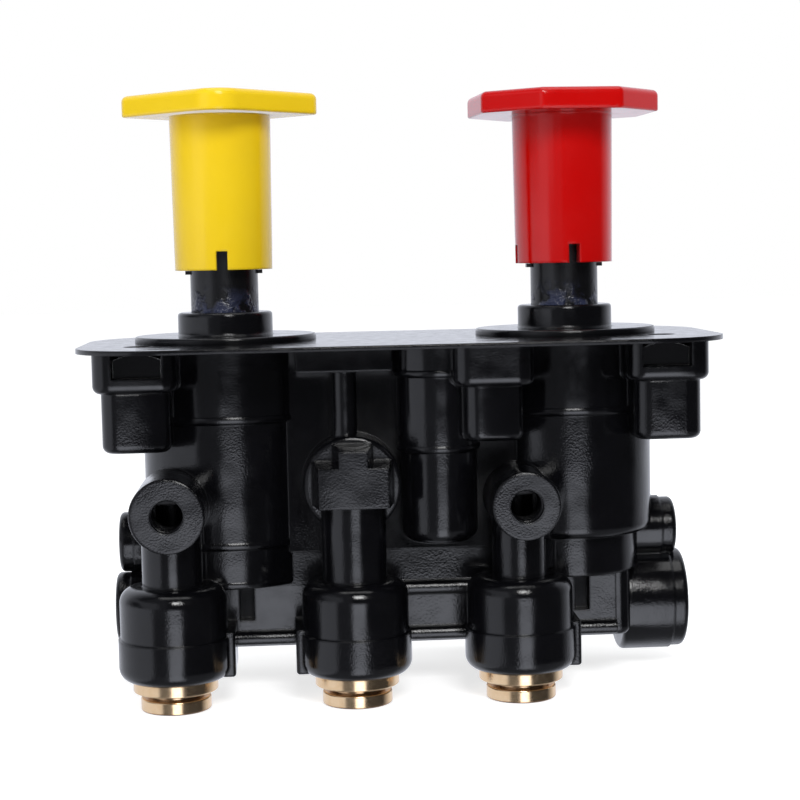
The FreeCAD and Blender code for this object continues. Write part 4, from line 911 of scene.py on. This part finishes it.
@dataclass
class Studio:
    """The camera at the photograph's angle, soft lamps, and a white floor and surroundings.

    The floor's size is in metres, the lamps' power in watts and the camera's angles in degrees.
    """

    eye: Point = (-25.6, -450.2, 20.9)
    yaw: float = -3.33
    pitch: float = 4.62
    roll: float = -1.23
    lens: float = 83.43
    sensor: float = 36.0
    nearest: float = 10.0
    floor_level: float = -83.8
    floor_size: float = 6.0
    floor_parts: int = 4
    floor_colour: Colour = (0.8, 0.8, 0.8)
    floor_lift: float = 0.72
    glow: float = 0.42
    glow_colour: Colour = (0.96, 0.98, 1.0)
    mirrored_colour: Colour = (0.87, 0.90, 1.0)
    darkest: float = 0.05
    softboxes: tuple[Softbox, ...] = (
        Softbox("left_softbox", (-560.0, -420.0, 170.0), 420.0, 620.0, 1.6),
        Softbox("front_softbox", (60.0, -560.0, 360.0), 200.0, 210.0, 2.2, mirrored=True),
        Softbox("right_softbox", (680.0, 120.0, 140.0), 160.0, 620.0, 1.2),
        Softbox("top_softbox", (0.0, -60.0, 700.0), 600.0, 400.0, 1.4, mirrored=True),
    )
    front_card: GlossPatch = GlossPatch(
        3.2, x=(-0.20, -0.10, 0.26, 0.38), y=below(-0.6, -0.5), z=below(-0.175, -0.085))
    dim_gap: GlossPatch = GlossPatch(0.2, x=below(-0.2, -0.1), y=below(-0.2, 0.0))
    left_wall: GlossPatch = GlossPatch(1.05, x=below(-0.70, -0.60), z=below(0.0, 0.03))
    left_window: GlossPatch = GlossPatch(0.6, x=(-0.94, -0.88, -0.5, -0.42), z=(0.0, 0.02, 0.55, 0.7))
    back_wall: GlossPatch = GlossPatch(1.05, y=above(0.0, 0.6))
    near_floor: GlossPatch = GlossPatch(0.3, z=below(-0.38, -0.26))

    def camera(self) -> None:
        """Place the camera."""
        data = bpy.data.cameras.new("photo_camera")
        data.lens = self.lens
        data.sensor_width = self.sensor
        data.clip_start = self.nearest * MM
        camera = bpy.data.objects.new("photo_camera", data)
        bpy.context.scene.collection.objects.link(camera)
        yaw, pitch, roll = (math.radians(angle) for angle in (self.yaw, self.pitch, self.roll))
        ahead = Vector((-math.sin(yaw) * math.cos(pitch), math.cos(yaw) * math.cos(pitch), -math.sin(pitch)))
        level = Vector((math.cos(yaw), math.sin(yaw), 0.0))
        upwards = level.cross(ahead)
        right = level * math.cos(roll) + upwards * math.sin(roll)
        top = upwards * math.cos(roll) - level * math.sin(roll)
        turn = Matrix((right, top, -ahead)).transposed().to_4x4()
        camera.matrix_world = Matrix.Translation(Vector(self.eye) * MM) @ turn
        bpy.context.scene.camera = camera

    def gloss_strength(self, sheet: NodeSheet) -> bpy.types.Node:
        """Add the strength of what gloss shows in each direction.

        Args:
            sheet: Sheet of the world's nodes.

        Returns:
            The node that gives the strength.
        """
        direction = sheet.split(sheet.node("ShaderNodeTexCoord"), "Generated")
        total = sheet.node("ShaderNodeMath", {0: self.darkest, 1: 0.0}, operation="ADD")
        patches = (self.front_card, self.dim_gap, self.left_wall, self.left_window, self.back_wall,
                   self.near_floor)
        for patch in patches:
            part = sheet.node("ShaderNodeMath", {0: patch.strength, 1: 1.0}, operation="MULTIPLY")
            for axis, limits in zip("XYZ", (patch.x, patch.y, patch.z)):
                if limits != OPEN:
                    part = sheet.combine("MULTIPLY", part, sheet.window(direction, limits, axis))
            total = sheet.combine("MAXIMUM", total, part)
        return total

    def surroundings(self) -> None:
        """Make a world that is white where it is seen, a dimmer light, and the studio's cards to gloss."""
        world = bpy.data.worlds.new("white_surroundings")
        bpy.context.scene.world = world
        world.use_nodes = True
        world.cycles.sampling_method = "NONE"
        sheet = NodeSheet(world.node_tree)
        seen = sheet.node("ShaderNodeBackground", {"Color": WHITE, "Strength": 1.0})
        glow = sheet.node("ShaderNodeBackground", {"Color": (*self.glow_colour, 1.0), "Strength": self.glow})
        mirrored = sheet.node("ShaderNodeBackground", {"Color": (*self.mirrored_colour, 1.0)})
        sheet.join(self.gloss_strength(sheet), 0, mirrored, "Strength")
        rays = sheet.node("ShaderNodeLightPath")
        through = sheet.node("ShaderNodeMath", operation="MAXIMUM")
        sheet.join(rays, "Is Camera Ray", through, 0)
        sheet.join(rays, "Is Transmission Ray", through, 1)
        lit = sheet.choose(rays, "Is Glossy Ray", glow, mirrored)
        shown = sheet.choose(through, 0, lit, seen)
        sheet.join(shown, 0, sheet.node("ShaderNodeOutputWorld"), "Surface")

    def floor_material(self) -> bpy.types.Material:
        """Return a white that is lifted where the camera sees it, and clear from below."""
        sheet = ShaderSheet("white_floor")
        sheet.set(Base_Color=(*self.floor_colour, 1.0), Roughness=0.9, Specular_IOR_Level=0.1,
                  Emission_Color=WHITE)
        seen = sheet.node("ShaderNodeMath", {1: self.floor_lift}, operation="MULTIPLY")
        sheet.join(sheet.node("ShaderNodeLightPath"), "Is Camera Ray", seen, 0)
        sheet.join(seen, 0, sheet.shader, "Emission Strength")
        one_sided = sheet.choose(sheet.node("ShaderNodeNewGeometry"), "Backfacing", sheet.shader,
                                 sheet.node("ShaderNodeBsdfTransparent"))
        sheet.join(one_sided, 0, sheet.output, "Surface")
        sheet.material.cycles.emission_sampling = "NONE"
        return sheet.material

    def floor(self) -> None:
        """Lay a white floor that keeps a faint shadow, and that gloss looks through to the surroundings."""
        Bench.deselect()
        bpy.ops.mesh.primitive_grid_add(x_subdivisions=self.floor_parts, y_subdivisions=self.floor_parts,
                                        size=self.floor_size, location=(0.0, 0.0, self.floor_level * MM))
        floor = bpy.context.object
        floor.name = "studio_floor"
        bpy.ops.object.transform_apply(location=True, rotation=False, scale=False)
        floor.visible_glossy = False
        floor.data.materials.append(self.floor_material())

    def build(self) -> None:
        """Set the scene up."""
        scene = bpy.context.scene
        scene.view_settings.view_transform = "Standard"
        self.camera()
        for softbox in self.softboxes:
            softbox.build()
        self.surroundings()
        self.floor()


class Valve:
    """The whole valve: dressed CAD nodes and the pieces added to them."""

    def __init__(self, palette: Palette) -> None:
        """Keep the palette and read the slot of each node from the record."""
        self.palette = palette
        self.slots = {part["node"]: Slot(part["material_slot"]) for part in frame["record"]["subparts"]}

    def dress(self) -> None:
        """Give every CAD node its slot's material."""
        for name, node in frame["nodes"].items():
            material = self.palette.material(self.slots[name])
            node.data.materials.clear()
            node.data.materials.append(material)
            LOG.info("dressed %s with %s", name, material.name)

    @staticmethod
    def hide_yellow_in_gloss() -> None:
        """Keep the yellow knob's mirror image off the red knob, where the photograph shows none."""
        frame["nodes"]["park_knob"].visible_glossy = False

    def build(self) -> None:
        """Dress the nodes and build the added pieces."""
        self.dress()
        self.hide_yellow_in_gloss()
        pieces = Moulding().build(self.palette)
        for side in ("park", "trailer"):
            spring = PlungerSpring(f"{side}_plunger_spring", f"{side}_plunger", f"{side}_button")
            pieces.append(spring.build(self.palette))
        LOG.info("added %d pieces to %d nodes", len(pieces), len(frame["nodes"]))


def main() -> None:
    """Build the studio and the valve in order."""
    logging.basicConfig(level=logging.INFO, format="%(name)s: %(message)s")
    Studio().build()
    Valve(Palette()).build()


if __name__ == "__main__":
    main()
